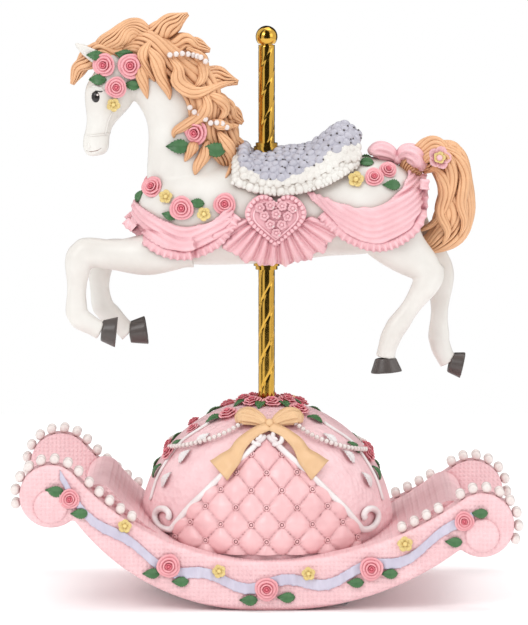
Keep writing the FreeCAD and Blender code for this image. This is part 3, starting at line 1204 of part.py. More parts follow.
def rocking_arm():
    """Bent rod from its hinge under the cover to a foot on the table, with a riser under the cam."""
    hub_start = V(ARM_X - ARM_HUB_HALF, ARM_HINGE_Y, ARM_Z)
    hub = rod(ARM_HUB_RADIUS, hub_start, hub_start.add(X_AXIS * 2 * ARM_HUB_HALF))
    corner = V(ARM_X, ARM_TIP_Y, ARM_Z)
    before, after = corner.add(Y_AXIS * ARM_BEND), corner.sub(Z_AXIS * ARM_BEND)
    centre = before.sub(Z_AXIS * ARM_BEND)
    lean = math.sqrt(0.5) * ARM_BEND
    middle = centre.add(V(0, -lean, lean))
    path = Part.Wire([Part.LineSegment(V(ARM_X, ARM_HINGE_Y, ARM_Z), before).toShape(),
                      Part.Arc(before, middle, after).toShape(),
                      Part.LineSegment(after, V(ARM_X, ARM_TIP_Y, ARM_TIP_Z + ARM_RADIUS)).toShape()])
    section = Part.Wire(Part.makeCircle(ARM_RADIUS, V(ARM_X, ARM_HINGE_Y, ARM_Z), Y_AXIS))
    wire = path.makePipeShell([section], True, False)
    foot = Part.makeSphere(ARM_RADIUS, V(ARM_X, ARM_TIP_Y, ARM_TIP_Z + ARM_RADIUS))
    riser_top = CYLINDER_Z - CAM_RADIUS - CLEAR
    riser = rod(ARM_RADIUS, V(ARM_X, 0, ARM_Z), V(ARM_X, 0, riser_top))
    body = union([hub, wire, foot, riser])
    reach = X_AXIS * (2 * ARM_HUB_HALF)
    return body.cut(rod(ARM_PIN_RADIUS + RUNNING, hub_start.sub(reach), hub_start.add(reach * 2)))


def arm_bracket():
    """Two cheeks under the cover that hold the rocking arm's pin."""
    shapes = []
    for end in (HEAD, TAIL):
        low, high = sorted((end * (ARM_HUB_HALF + CLEAR), end * (ARM_HUB_HALF + CLEAR + BRACKET_CHEEK)))
        first, last = V(ARM_X + low, ARM_HINGE_Y, ARM_Z), V(ARM_X + high, ARM_HINGE_Y, ARM_Z)
        cheek = plate(first.sub(Y_AXIS * ARM_HUB_RADIUS),
                      V(last.x, ARM_HINGE_Y + ARM_HUB_RADIUS, COVER_FOOT_Z))
        eye = rod(ARM_HUB_RADIUS, first, last)
        bore = rod(ARM_PIN_RADIUS + PRESSED, first, last)
        shapes.append(union([cheek, eye]).cut(bore))
    return Part.makeCompound(shapes)


def arm_pin():
    """Pin through the bracket and the arm's hub."""
    reach = X_AXIS * (ARM_HUB_HALF + CLEAR + BRACKET_CHEEK)
    middle = V(ARM_X, ARM_HINGE_Y, ARM_Z)
    return rod(ARM_PIN_RADIUS, middle.sub(reach), middle.add(reach))


def build_base():
    """Nodes of the rocking base."""
    rockers = [rocker(NEAR), rocker(FAR)]
    cap = dome(rockers)
    floor = cradle_floor()
    bows, panels, mouldings, roses, leaves = [], [], [], [], []
    garlands = {NEAR: garland(NEAR, rockers[0]), FAR: garland(FAR, rockers[1])}
    for side in (NEAR, FAR):
        bow = dome_bow(side, [cap])
        panel = quilt_panel(side, [cap, bow, floor] + rockers)
        edge = [scroll_moulding(side, end, [cap, bow, panel] + rockers) for end in (HEAD, TAIL)]
        taken = [cap, bow, panel] + edge + rockers
        flowers = [on_dome(rose(size), x, z, side, taken) for x, z, size in DOME_ROSES]
        blades = [on_dome(leaf(size, turn), x, z, side, taken + flowers) for x, z, size, turn in DOME_LEAVES]
        bows.append(bow)
        panels.append(panel)
        mouldings += edge
        roses += flowers
        leaves += blades
    names = ("garland_roses", "garland_blossoms", "garland_leaves", "garland_ribbons")
    nodes = {name: Part.makeCompound(garlands[NEAR][index] + garlands[FAR][index])
             for index, name in enumerate(names)}
    nodes.update({
        "front_rocker": rockers[0], "rear_rocker": rockers[1], "cradle_floor": floor, "dome": cap,
        "dome_bows": Part.makeCompound(bows), "quilt_panels": Part.makeCompound(panels),
        "scroll_mouldings": Part.makeCompound(mouldings), "dome_roses": Part.makeCompound(roses),
        "dome_leaves": Part.makeCompound(leaves), "rocker_pearls": rocker_pearls(),
        "bottom_cover": bottom_cover(), "cover_screws": cover_screws()})
    return nodes


def build_horse():
    """Nodes of the horse and its pole."""
    blank = horse_blank()
    bore = rod(POLE_RADIUS + RUNNING, V(0, 0, 0), V(0, 0, POLE_TOP_Z))
    collar_room = rod(COLLAR_RADIUS + CLEAR, V(0, 0, 0), V(0, 0, POLE_TOP_Z))
    body = blank.cut(bore)
    runs = {"near_foreleg": (NEAR_FORELEG, NEAR), "far_foreleg": (FAR_FORELEG, FAR),
            "near_hind_leg": (NEAR_HIND_LEG, NEAR), "far_hind_leg": (FAR_HIND_LEG, FAR)}
    legs = {name: leg(run, side, blank) for name, (run, side) in runs.items()}
    hooves = [hoof(runs[name][0], HOOF_SOLES[name], runs[name][1], legs[name]) for name in runs]
    tail = clear_of(union([limb(lock) for lock in TAIL_LOCKS]), [blank])
    mane = clear_of(union([limb(lock) for lock in MANE_LOCKS]), [blank])
    seat = clear_of(saddle_blank(SADDLE_EDGE, SEAT_THICK).cut(bore), [blank, mane])
    breast = drape(BREAST_TOP, BREAST_HEM, NEAR_FORELEG, FAR_FORELEG, blank)
    rump = drape(RUMP_TOP, RUMP_HEM, NEAR_HIND_LEG, FAR_HIND_LEG, blank)
    rump = clear_of_all(rump, [seat, tail])
    pads = [heart_pad(side, blank) for side in (NEAR, FAR)]
    ruffles = [heart_ruffle(side, blank, pad).cut(collar_room) for side, pad in zip((NEAR, FAR), pads)]
    ruffles = [clear_of(one, [rump, breast]) for one in ruffles]
    fleece = saddle_blank(FLEECE_EDGE, FLEECE_THICK).cut(blank).cut(collar_room)
    fleece = clear_of_all(fleece, [seat, mane, rump] + pads)
    fleece = Part.makeCompound([skirt for skirt in fleece.Solids if skirt.Volume > FLEECE_THICK ** 3])
    bow = rump_bow([blank, tail, rump])
    carriers = [blank, mane, seat, fleece, breast, rump, bow]
    roses, blossoms, leaves = [], [], []
    for x, z, size in HORSE_ROSES:
        roses.append(on_horse(rose(size), x, z, carriers, roses))
    for x, z, size in HORSE_BLOSSOMS:
        blossoms.append(on_horse(blossom(size), x, z, carriers, roses))
    for x, z, size, turn in HORSE_LEAVES:
        leaves.append(on_horse(leaf(size, turn), x, z, carriers, roses + blossoms + leaves))
    nodes = dict(legs)
    nodes.update({
        "horse_body": body, "hooves": Part.makeCompound(hooves), "tail": tail, "mane": mane,
        "saddle_seat": seat, "saddle_fleece": fleece, "breast_drape": breast, "rump_drape": rump,
        "heart_pads": Part.makeCompound(pads),
        "heart_ruffles": Part.makeCompound(ruffles), "rump_bow": bow, "horse_roses": both_sides(roses),
        "horse_blossoms": both_sides(blossoms), "horse_leaves": both_sides(leaves),
        "pole": pole(), "finial": finial(), "pole_retainer": pole_retainer(),
        "upper_collar": collar(UPPER_COLLAR_Z, [blank, seat]),
        "lower_collar": collar(LOWER_COLLAR_Z, [blank])})
    return nodes


def build_movement():
    """Nodes of the wind-up movement and the rocking arm."""
    makers = (movement_bedplate, bedplate_screws, spring_housing, mainspring, winding_arbor, drive_wheel,
              winding_key, pin_cylinder, cylinder_arbor, cylinder_gear, rocking_cam, bearing_posts, comb,
              comb_support, comb_screws, governor_frame, governor_wheel, air_fly, rocking_arm, arm_bracket,
              arm_pin)
    return {maker.__name__: maker() for maker in makers}


def main():
    """Build every node and write it to its own file."""
    os.makedirs("parts", exist_ok=True)
    for nodes in (build_base(), build_horse(), build_movement()):
        for name, shape in nodes.items():
            shape.exportStep("parts/" + name + ".step")


if __name__ == "__main__":
    main()
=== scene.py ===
"""Dressed view of a carousel music box: a painted resin horse on a brass pole over a rocking base."""
import json
import math

import bmesh
import bpy
import numpy as np
from mathutils import Matrix, Vector
from mathutils.bvhtree import BVHTree


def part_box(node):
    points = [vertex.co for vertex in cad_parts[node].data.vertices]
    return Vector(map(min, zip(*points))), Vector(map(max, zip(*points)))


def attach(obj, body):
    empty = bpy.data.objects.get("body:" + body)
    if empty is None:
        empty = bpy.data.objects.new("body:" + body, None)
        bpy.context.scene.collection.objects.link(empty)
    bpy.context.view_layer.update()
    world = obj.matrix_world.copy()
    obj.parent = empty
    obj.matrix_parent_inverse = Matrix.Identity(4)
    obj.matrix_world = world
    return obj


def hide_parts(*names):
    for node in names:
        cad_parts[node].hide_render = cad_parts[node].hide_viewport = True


# Lengths in this script are millimetres, and meshes are made in metres
MM = 0.001
# Near and far side of the part as signs of y, and its left and right as signs of x
SIDES = (-1, 1)
ENDS = (-1, 1)
# Distance out from the middle plane, in metres, from which rays look for a surface
LOOK_FROM = 0.1
# Distance within which points are one, in a made shape and in a node of the frame
WELD = 0.004
NODE_WELD = 0.002

# Dome, the tufted panels on it and their buttons
DOME_CENTRE = Vector((0, 0, 25))
DOME_RADIUS = 49.0
QUILT_APEX_Z = 62.5
QUILT_HEM_Z = 20.5
# Edge of the tufted panel from its foot up, as height and half width
PANEL_EDGE = [(28, 35), (32, 32), (37, 28), (42, 23), (47, 18), (52, 12.5), (57, 6.5), (QUILT_APEX_Z, 0)]
TUFT_WIDE = 11.4
TUFT_HIGH = 12.6
TUFT_RISE = 2.2
TUFT_SPAN = 40
BUTTON_SIZE = 0.6
BUTTON_RING = 1.05
BUTTON_WIRE = 0.3

# Scroll bands, ridges and leaves beside the panels. A leaf has its x, z and lean
BAND_SIZE = 1.25
FOOT_CURL = 5.0
APEX_CURL = 2.7
APEX_CURL_SIZE = 0.95
APEX_CURL_X, APEX_CURL_Z = 3.6, 62
CURL_STEPS = 29
DOME_RIDGE = [(22, 66.5), (33, 58.6), (41, 47), (44.5, 37)]
SCROLL_LEAVES = ((24, 61, 0.5), (31, 54.6, 0.7), (38, 45.6, 0.9))
SCROLL_LEAF_SIZE = 7

# Bow of the dome: its loop as (x, z, half width, half thickness) and its tail as (x, z), from the knot
BOW_X, BOW_Z = 1.0, 65.4
BOW_LOOP = [(0.4, 0.2, 1.2, 1), (4, 1.6, 3, 2), (8.4, 2.4, 4.4, 2.4), (11.4, 2, 3.2, 1.8),
            (12.6, 1.6, 0.6, 0.6)]
BOW_TAIL = [(0.4, -0.6), (6, -3), (10.4, -7), (13.4, -11.4), (18.4, -15.4)]
BOW_TAIL_STEPS = 40

# Other trim of the base, and the pole
DOME_PEARLS = [[(-6, 68), (-16, 62.6), (-27, 58.6), (-36, 56)], [(8, 68), (17, 62), (28, 57.6), (37, 55)]]
CROWN_ROSES = 7
CROWN_REACH = 8.6
CROWN_LEAF_REACH = CROWN_REACH + 2.4
CROWN_ROSE_SIZE = 3.3
CROWN_LEAF_SIZE = 6.4
PEARL_SIZE = 1.85
POLE_RADIUS = 3.175
POLE_PITCH = 34.0
POLE_STARTS = 3
POLE_GROOVE = 0.32
POLE_STEP = 0.7
POLE_SIDES = 60

# Face and bridle of the horse as points (x, z) of the side view
EYE = (-65.4, 191.8)
GLINT = (-65.0, 192.6)
LASH = [(-67.2, 193), (-65.6, 194), (-63.6, 193.8), (-62, 194.6)]
BROW = [(-68.2, 195.2), (-66, 196), (-63.4, 195), (-61.6, 193)]
NOSTRIL = (-68.4, 172.8)
MOUTH = [(-69.4, 170.9), (-67.6, 170.6), (-65.4, 171), (-63.6, 172)]
CHEEK_STRAP = [(-62.2, 177), (-60.6, 183), (-57.6, 190), (-55.4, 197), (-54.8, 203)]
NOSE_BAND = (-65.3, 177)

# Locks of hair as (x, z, half height, half width)
TAIL_LOCKS = [
    [(53.1, 160.5, 3, 3), (58.1, 166.6, 5.4, 4.4), (64.5, 169.6, 6.6, 5.6), (70, 168, 5.8, 5.6),
     (74, 163.5, 3, 3.4)],
    [(65, 172.6, 3, 3.4), (69.4, 167.5, 6.6, 6.2), (72.4, 158.5, 7.8, 7.2), (72.8, 148.5, 7.8, 7.4),
     (69.6, 139.8, 6.6, 6.4), (63.6, 135.2, 4.4, 4.6), (57.4, 135.4, 1.8, 2)]]
MANE_LOCKS = [
    [(-58, 208.5, 3, 4), (-50, 211, 6.4, 6.2), (-41, 207.6, 8.4, 7.6), (-32.4, 199.6, 9.6, 8.6),
     (-26, 189.6, 10, 9), (-21.6, 179.6, 9.2, 9), (-18, 170, 7, 7.6), (-15.4, 163.4, 3.2, 4.4)],
    [(-50, 209, 5, 4.5), (-42.6, 215.6, 5, 4.4), (-35.6, 220.4, 3.6, 3.4), (-30.2, 223.4, 0.8, 0.8)],
    [(-41, 206, 5.4, 5), (-31, 211.4, 4.8, 4.6), (-21.8, 209.4, 1, 1)],
    [(-32, 196, 5.6, 5.6), (-20.6, 199, 4.8, 4.6), (-11, 197, 1, 1)],
    [(-26, 186, 5.6, 6), (-15.6, 186, 4.8, 4.8), (-9.2, 181.4, 1, 1)],
    [(-21, 174, 5, 5.6), (-13, 172.6, 4.4, 4.6), (-10.2, 166, 1.2, 1.4)],
    [(-55, 208.6, 4.6, 5.4), (-64, 208.4, 4.4, 5), (-71.4, 203.4, 3.4, 3.8), (-75, 196.4, 1, 1.2)]]
FORELOCK = [(-66, 206, 3, 3.4), (-60, 212, 4.6, 5.2), (-53, 216.2, 5, 5.6), (-48, 215.8, 4.2, 5),
            (-45, 212, 2, 3)]
HAIR_WAVES = 15.0
HAIR_SWAY = 0.22
HAIR_SWELL = 0.14
LOCK_STRANDS = 7
# Strands of a lock as (count, share of its half width, share that is their radius), for long and short locks
LONG_STRANDS = ((20, 0.84, 0.2), (14, 0.62, 0.24))
SHORT_STRANDS = ((11, 0.76, 0.28),)
# Fewest points of a long lock
LONG_POINTS = 5

# Hems of the drapes as points (x, z), with their frills
BREAST_HEM = [(-12.5, 148), (-20, 137.6), (-31, 133.2), (-42, 136), (-53, 146)]
RUMP_HEM = [(59, 161), (57.6, 146), (50, 138.6), (41, 136.6), (31, 140.4), (22, 148.6)]
BREAST_FRILLS, RUMP_FRILLS = 20, 24
BREAST_MIDDLE, RUMP_MIDDLE = -31, 41
FRILL_DROP = 3.4
FRILL_WAVE = 0.75
FRILL_LIFT = 1.6
FRILL_STEPS = 320

# Loose locks that lie over the mane and tail on each side, as points (x, z) and a half width
SIDE_LOCKS = [
    ([(-48.4, 206), (-48, 200.5), (-47, 196), (-45.7, 190.7)], 2.4),
    ([(-47, 212), (-42.4, 206.6), (-40.6, 199.6), (-38, 194.6), (-37.1, 190.4)], 2.6),
    ([(-44, 214), (-47.4, 208), (-45.6, 202), (-42.6, 197.4)], 2.2),
    ([(-38, 208), (-33.6, 203), (-34, 198), (-29, 194), (-24, 194), (-17, 196.6), (-11.6, 197.4)], 2.8),
    ([(-31, 211), (-25.4, 206), (-24.4, 199.4), (-28.6, 194.4)], 2.6),
    ([(-26, 196), (-22.6, 189.4), (-25, 184.6), (-31, 181), (-35.4, 178.6), (-35.6, 175.8)], 2.5),
    ([(-24, 194), (-17.4, 190), (-16, 186), (-19, 182.4)], 2.4),
    ([(-26.6, 175.4), (-29, 171.4), (-31.6, 167)], 2.1),
    ([(-22.6, 175.4), (-23.6, 170), (-26.6, 165.4), (-27.6, 161.8)], 2.4),
    ([(-18.6, 179), (-15, 173), (-13, 166.4), (-16, 160.6)], 2.6),
    ([(-22, 183), (-15.6, 180.6), (-10.4, 180.6)], 2.0)]
TAIL_SIDE_LOCKS = [
    ([(57, 163), (62, 168.6), (68.4, 169), (71.6, 162), (69.4, 151), (65, 143), (58.4, 139.4)], 2.6),
    ([(60, 162), (66, 164), (69.6, 156), (67, 147), (70, 140), (67, 133.6)], 2.6),
    ([(66, 172.4), (73, 169), (76.4, 161), (74.6, 151), (76.4, 143.6), (73.6, 136.4)], 2.5)]
MANE_PEARLS = [[(-37.1, 208.1), (-32.3, 208.6), (-28.5, 207.9), (-24.7, 206.9), (-23.2, 205.3)],
               [(-29.4, 188), (-27, 185.7), (-23.7, 183.7), (-20.8, 181.8), (-18, 182.3), (-15.1, 180.1)]]

# Saddle: the line (x, z) between its curls and its white skirt, and the skirt's lower edge
CURL_LINE = [(-13, 166), (-8, 164.6), (0, 161.6), (7, 160.8), (14, 163.6), (18, 166.6), (22, 169.6),
             (31, 174)]
FLEECE_EDGE = [(-13, 159.4), (3, 155.2), (20, 158), (33, 164.4)]
CURL_PITCH, CURL_SIZE, CURL_RISE = 3.2, 2.2, 0.85
KNOB_PITCH, KNOB_SIZE, KNOB_RISE = 2.4, 1.8, 0.5
# Size of the small dark balls sunk between the curls, which are painted shade
CURL_SHADE_SIZE = 0.4
HEM_BEAD_SIZE, HEM_BEAD_PITCH = 0.85, 1.7

# Hearts: their middle (x, z) for the frill, and their flowers (right, up) from the middle of the pad
HEART_X, HEART_Z = 3.5, 151
HEART_FLOWERS = [(-6.4, 4.4), (-2.2, 5.4), (2.6, 5.2), (6.8, 4.2), (-4.6, 1), (0.2, 1.8), (4.8, 0.8),
                 (-2.2, -2.6), (2.4, -2.8), (0.2, -6.4)]
HEART_FLOWER_SIZE = 1.9
HEART_WIDER = 1.14
HEART_RAYS = 72
HEART_BEAD_SIZE, HEART_BEAD_PITCH = 0.95, 1.75

# Loops of the bow on the rump as (x, z, half thickness, half width), its knot and the rosette on the tail
RUMP_BOW = [[(50.4, 167.2, 1.4, 2), (47.4, 169.6, 3, 4.6), (43.6, 170.8, 3.4, 6.4), (40.6, 170.2, 2.4, 6),
             (39.6, 169.4, 0.6, 3)],
            [(50.4, 167.6, 1.4, 2), (53.4, 169.8, 3.2, 5.4), (57, 168.8, 3.8, 7.2), (59.4, 165.6, 3.4, 7.2),
             (59.8, 163, 1, 4)]]
LOOP_SIDES = 48
RUMP_KNOT = (50.4, 0, 167.6)
ROSETTE = (66, 168)

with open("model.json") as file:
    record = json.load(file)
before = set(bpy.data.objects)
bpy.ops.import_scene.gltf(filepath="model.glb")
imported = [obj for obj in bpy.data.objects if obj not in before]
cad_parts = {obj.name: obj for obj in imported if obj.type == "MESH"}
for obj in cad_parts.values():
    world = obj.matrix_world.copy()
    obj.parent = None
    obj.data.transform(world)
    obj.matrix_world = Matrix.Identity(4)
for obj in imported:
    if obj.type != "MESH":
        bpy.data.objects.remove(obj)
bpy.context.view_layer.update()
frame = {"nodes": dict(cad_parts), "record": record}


def smooth_path(points, count):
    """Smooth curve through points of any dimension, sampled evenly in its parameter."""
    rows = [np.array(point, float) for point in points]
    rows = [2 * rows[0] - rows[1]] + rows + [2 * rows[-1] - rows[-2]]
    out = []
    for step in range(count):
        along = step / (count - 1) * (len(points) - 1)
        index = min(int(along), len(points) - 2)
        t = along - index
        a, b, c, d = rows[index:index + 4]
        out.append(0.5 * (2 * b + (c - a) * t + (2 * a - 5 * b + 4 * c - d) * t * t
                          + (3 * b - a - 3 * c + d) * t ** 3))
    return out


def tangents(path):
    """Direction of a path of vectors at each of its points."""
    ends = path[:1] + path + path[-1:]
    return [(after - before).normalized() for before, after in zip(ends, ends[2:])]


def turns(count):
    """Angles that part a full turn evenly."""
    return [2 * math.pi * k / count for k in range(count)]


class Shape:
    """Vertices in millimetres and faces, gathered before they become one object."""

    def __init__(self):
        self.verts = []
        self.faces = []

    def add(self, verts, faces):
        """More vertices, and faces that count from the first of them."""
        start = len(self.verts)
        self.verts += [tuple(v) for v in verts]
        self.faces += [tuple(start + i for i in face) for face in faces]

    def grid(self, rows, closed=False):
        """Rows of points joined into quads, with each row closed into a ring if asked."""
        width = len(rows[0])
        verts = [v for row in rows for v in row]
        faces = []
        for r in range(len(rows) - 1):
            for c in range(width if closed else width - 1):
                n = (c + 1) % width
                faces.append((r * width + c, r * width + n, (r + 1) * width + n, (r + 1) * width + c))
        self.add(verts, faces)

    def tube(self, points, radii, sides=8):
        """Round tube through points, closed at both ends."""
        path = [Vector(p) for p in points]
        rows = []
        normal = None
        for i, (place, along) in enumerate(zip(path, tangents(path))):
            if normal is None:
                normal = along.orthogonal()
            normal = (normal - along * normal.dot(along)).normalized()
            side = along.cross(normal)
            r = radii[i] if hasattr(radii, "__len__") else radii
            rows.append([place + (normal * math.cos(a) + side * math.sin(a)) * r for a in turns(sides)])
        rows = [[path[0]] * sides] + rows + [[path[-1]] * sides]
        self.grid(rows, closed=True)

    def ball(self, centre, radius, sides=14, stretch=(1, 1, 1)):
        """Ball, or an egg where it is stretched."""
        rows = []
        for r in range(sides // 2 + 1):
            polar = math.pi * r / (sides // 2)
            rows.append([Vector(centre) + Vector((radius * stretch[0] * math.sin(polar) * math.cos(a),
                                                  radius * stretch[1] * math.sin(polar) * math.sin(a),
                                                  radius * stretch[2] * math.cos(polar)))
                         for a in turns(sides)])
        self.grid(rows, closed=True)

    def placed(self, other, place, outward, up, scale=1.0):
        """Another shape, made facing +Z with +Y up, set facing outward at a place."""
        z = Vector(outward).normalized()
        x = Vector(up).cross(z).normalized()
        y = z.cross(x)
        turn = Matrix((x, y, z)).transposed()
        self.add([Vector(place) + turn @ (Vector(v) * scale) for v in other.verts], other.faces)

    def piece(self, name, material, slot, replaces=(), solid=0.0):
        """One object of the scene from all that was gathered."""
        mesh = bpy.data.meshes.new(name)
        mesh.from_pydata([Vector(v) * MM for v in self.verts], [], self.faces)
        tidy = bmesh.new()
        tidy.from_mesh(mesh)
        bmesh.ops.remove_doubles(tidy, verts=tidy.verts, dist=WELD * MM)
        bmesh.ops.recalc_face_normals(tidy, faces=tidy.faces)
        tidy.to_mesh(mesh)
        tidy.free()
        finished(name, mesh, material, replaces, solid)


def linked(name, data):
    """New object of the scene."""
    made = bpy.data.objects.new(name, data)
    bpy.context.scene.collection.objects.link(made)
    return made


def finished(name, mesh, material, replaces=(), solid=0.0):
    """Object from a mesh, riding on the base, with its material and the nodes it stands for."""
    piece = linked(name, mesh)
    mesh.materials.append(material)
    for face in mesh.polygons:
        face.use_smooth = True
    if solid:
        thick = piece.modifiers.new("thickness", "SOLIDIFY")
        thick.thickness = solid * MM
        thick.offset = 0
    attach(piece, "base")
    if replaces:
        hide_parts(*replaces)


def node_bmesh(*nodes):
    """Welded copy of the meshes of some nodes."""
    joined = bmesh.new()
    for node in nodes:
        joined.from_mesh(frame["nodes"][node].data)
    bmesh.ops.remove_doubles(joined, verts=joined.verts, dist=NODE_WELD * MM)
    return joined


def loose_parts(node):
    """Point arrays, in millimetres, of the separate solids of a node."""
    joined = node_bmesh(node)
    joined.verts.ensure_lookup_table()
    seen = set()
    parts = []
    for vert in joined.verts:
        if vert.index in seen:
            continue
        seen.add(vert.index)
        group = [vert]
        for member in group:
            for edge in member.link_edges:
                other = edge.other_vert(member)
                if other.index not in seen:
                    seen.add(other.index)
                    group.append(other)
        parts.append(np.array([v.co for v in group]) / MM)
    joined.free()
    return parts


def remeshed(nodes, voxel, relax):
    """Smooth blended mesh over some nodes."""
    mesh = bpy.data.meshes.new("blend")
    joined = node_bmesh(*nodes)
    joined.to_mesh(mesh)
    joined.free()
    holder = linked("blend", mesh)
    remesh = holder.modifiers.new("remesh", "REMESH")
    remesh.mode = "VOXEL"
    remesh.voxel_size = voxel * MM
    soften = holder.modifiers.new("soften", "SMOOTH")
    soften.factor = 0.5
    soften.iterations = relax
    ready = holder.evaluated_get(bpy.context.evaluated_depsgraph_get())
    result = bpy.data.meshes.new_from_object(ready)
    bpy.data.objects.remove(holder)
    result.materials.clear()
    return result


def displaced(mesh, height):
    """Moves each point of a mesh out along its normal by height(point in mm, normal), in mm."""
    moves = [height(v.co / MM, v.normal) for v in mesh.vertices]
    normals = [v.normal.copy() for v in mesh.vertices]
    for vert, normal, move in zip(mesh.vertices, normals, moves):
        vert.co += normal * (move * MM)


def widened(mesh, factor, middle):
    """Stretches a mesh along the horse about a place."""
    for vert in mesh.vertices:
        vert.co.x = middle * MM + factor * (vert.co.x - middle * MM)


def surface_of(mesh):
    """Search tree over a mesh in metres."""
    return BVHTree.FromPolygons([v.co for v in mesh.vertices], [p.vertices[:] for p in mesh.polygons])


def surface_over(*nodes):
    """Search tree over the solids of some nodes."""
    joined = node_bmesh(*nodes)
    tree = BVHTree.FromBMesh(joined)
    joined.free()
    return tree


def seen_from(tree, x, z, side):
    """What a ray meets that looks at the part from one side at a place of the side view."""
    return tree.ray_cast(Vector((x * MM, side * LOOK_FROM, z * MM)), Vector((0, -side, 0)))


def side_y(tree, x, z, side, fallback=0.0):
    """Distance out from the middle plane of what is seen from one side at a place of the side view."""
    hit = seen_from(tree, x, z, side)
    return hit[0].y / MM if hit[0] else side * fallback


def laid(tree, points, side, fallback, stand=0.0):
    """Points (x, z) of the side view laid on what is seen from one side, or standing off it."""
    return [(x, side_y(tree, x, z, side, fallback) + side * stand, z) for x, z in points]


# Materials

def node_of(tree, kind, inputs=None, **settings):
    """New shader node with its settings and the values of its inputs."""
    made = tree.nodes.new(kind)
    for name, value in settings.items():
        setattr(made, name, value)
    for name, value in (inputs or {}).items():
        made.inputs[name].default_value = value
    return made


def texture_of(tree, place, kind, inputs, **settings):
    """Texture node laid out in the object's own coordinates."""
    made = node_of(tree, kind, inputs, **settings)
    tree.links.new(place.outputs["Object"], made.inputs["Vector"])
    return made


def ramp_of(tree, value, low, high, start=0.0, end=1.0):
    """Colour that runs from low to high while a value goes from start to end."""
    made = node_of(tree, "ShaderNodeValToRGB")
    first, last = made.color_ramp.elements
    first.position = start
    last.position = end
    first.color = (*low, 1)
    last.color = (*high, 1)
    tree.links.new(value, made.inputs["Fac"])
    return made.outputs["Color"]


def shader_of(name, inputs):
    """New material with values on its shader. Returns the material, its node tree and the shader."""
    material = bpy.data.materials.new(name)
    material.use_nodes = True
    shader = material.node_tree.nodes["Principled BSDF"]
    for socket, value in inputs.items():
        shader.inputs[socket].default_value = value
    return material, material.node_tree, shader


def painted(name, light, dark, rough=0.42, mottle=120, grain=None, strength=0.15, hollow_shade=0.55, reach=3.0,
            metallic=0.0, coat=0.15, sheen=0.0):
    """Painted finish: mottled colour, painted shade that darkens every hollow towards the dark colour, and a
    fine relief.
    """
    material, tree, shader = shader_of(name, {
        "Roughness": rough, "Metallic": metallic, "Coat Weight": coat, "Coat Roughness": 0.25,
        "Sheen Weight": sheen})
    place = node_of(tree, "ShaderNodeTexCoord")
    cloud = texture_of(tree, place, "ShaderNodeTexNoise", {"Scale": mottle, "Detail": 4})
    blend = [0.72 * a + 0.28 * b for a, b in zip(light, dark)]
    mottled = ramp_of(tree, cloud.outputs["Fac"], blend, light, 0.25, 0.7)
    # Painted shade: ambient occlusion finds creases and recesses within reach, and the colour there is
    # darkened towards the dark colour
    hollow = node_of(tree, "ShaderNodeAmbientOcclusion", {"Distance": reach * MM}, samples=6)
    shade_share = node_of(tree, "ShaderNodeMapRange",
                     {"From Min": 0.25, "From Max": 0.85, "To Min": hollow_shade, "To Max": 0.0})
    tree.links.new(hollow.outputs["AO"], shade_share.inputs["Value"])
    mix = node_of(tree, "ShaderNodeMix", {"B": (*dark, 1)}, data_type="RGBA")
    tree.links.new(shade_share.outputs["Result"], mix.inputs["Factor"])
    tree.links.new(mottled, mix.inputs["A"])
    tree.links.new(mix.outputs["Result"], shader.inputs["Base Color"])
    bump = node_of(tree, "ShaderNodeBump", {"Strength": strength, "Distance": 0.4 * MM})
    tree.links.new(relief_of(tree, place, grain), bump.inputs["Height"])
    tree.links.new(bump.outputs["Normal"], shader.inputs["Normal"])
    return material


def relief_of(tree, place, grain):
    """Height of the fine relief: scales, knit rows, or a grain that is finer on hair."""
    if grain == "scales":
        return texture_of(tree, place, "ShaderNodeTexVoronoi", {"Scale": 480}).outputs["Distance"]
    if grain == "knit":
        both = node_of(tree, "ShaderNodeMath", operation="MULTIPLY")
        for index, direction in enumerate("XZ"):
            wave = texture_of(tree, place, "ShaderNodeTexWave", {"Scale": 190, "Distortion": 1.2},
                              bands_direction=direction)
            tree.links.new(wave.outputs["Fac"], both.inputs[index])
        return both.outputs["Value"]
    scale = 900 if grain == "hair" else 420
    return texture_of(tree, place, "ShaderNodeTexNoise", {"Scale": scale, "Detail": 5}).outputs["Fac"]


def bare_metal(name, colour, rough):
    """Bare metal with a faintly uneven polish."""
    material, tree, shader = shader_of(name, {"Metallic": 1.0})
    place = node_of(tree, "ShaderNodeTexCoord")
    cloud = texture_of(tree, place, "ShaderNodeTexNoise", {"Scale": 300})
    tone = ramp_of(tree, cloud.outputs["Fac"], [0.8 * c for c in colour], colour)
    tree.links.new(tone, shader.inputs["Base Color"])
    polish = node_of(tree, "ShaderNodeMapRange", {"To Min": rough * 0.7, "To Max": rough * 1.4})
    tree.links.new(cloud.outputs["Fac"], polish.inputs["Value"])
    tree.links.new(polish.outputs["Result"], shader.inputs["Roughness"])
    return material


# Each painted() finish below darkens its creases and recesses towards its second colour as painted shade
WHITE = painted("horse_white", (0.77, 0.75, 0.71), (0.36, 0.27, 0.22), hollow_shade=0.5, reach=6, mottle=60)
TRIM = painted("trim_white", (0.85, 0.83, 0.82), (0.48, 0.24, 0.25), hollow_shade=0.6, reach=2)
PINK = painted("rocker_pink", (0.88, 0.58, 0.60), (0.56, 0.22, 0.25), grain="knit", strength=0.7, hollow_shade=0.7)
DOME_PINK = painted("dome_pink", (0.90, 0.62, 0.64), (0.58, 0.25, 0.28),
                    grain="scales", strength=1.0, hollow_shade=0.7)
QUILT = painted("quilt_pink", (0.87, 0.54, 0.55), (0.46, 0.14, 0.16),
                rough=0.34, hollow_shade=0.8, reach=2.5, sheen=0.1)
DRAPE = painted("drape_pink", (0.88, 0.55, 0.58), (0.54, 0.17, 0.22),
                rough=0.4, hollow_shade=0.75, reach=2.5, sheen=0.1)
HEART = painted("heart_pink", (0.84, 0.47, 0.51), (0.48, 0.13, 0.18), rough=0.4, hollow_shade=0.8, reach=2)
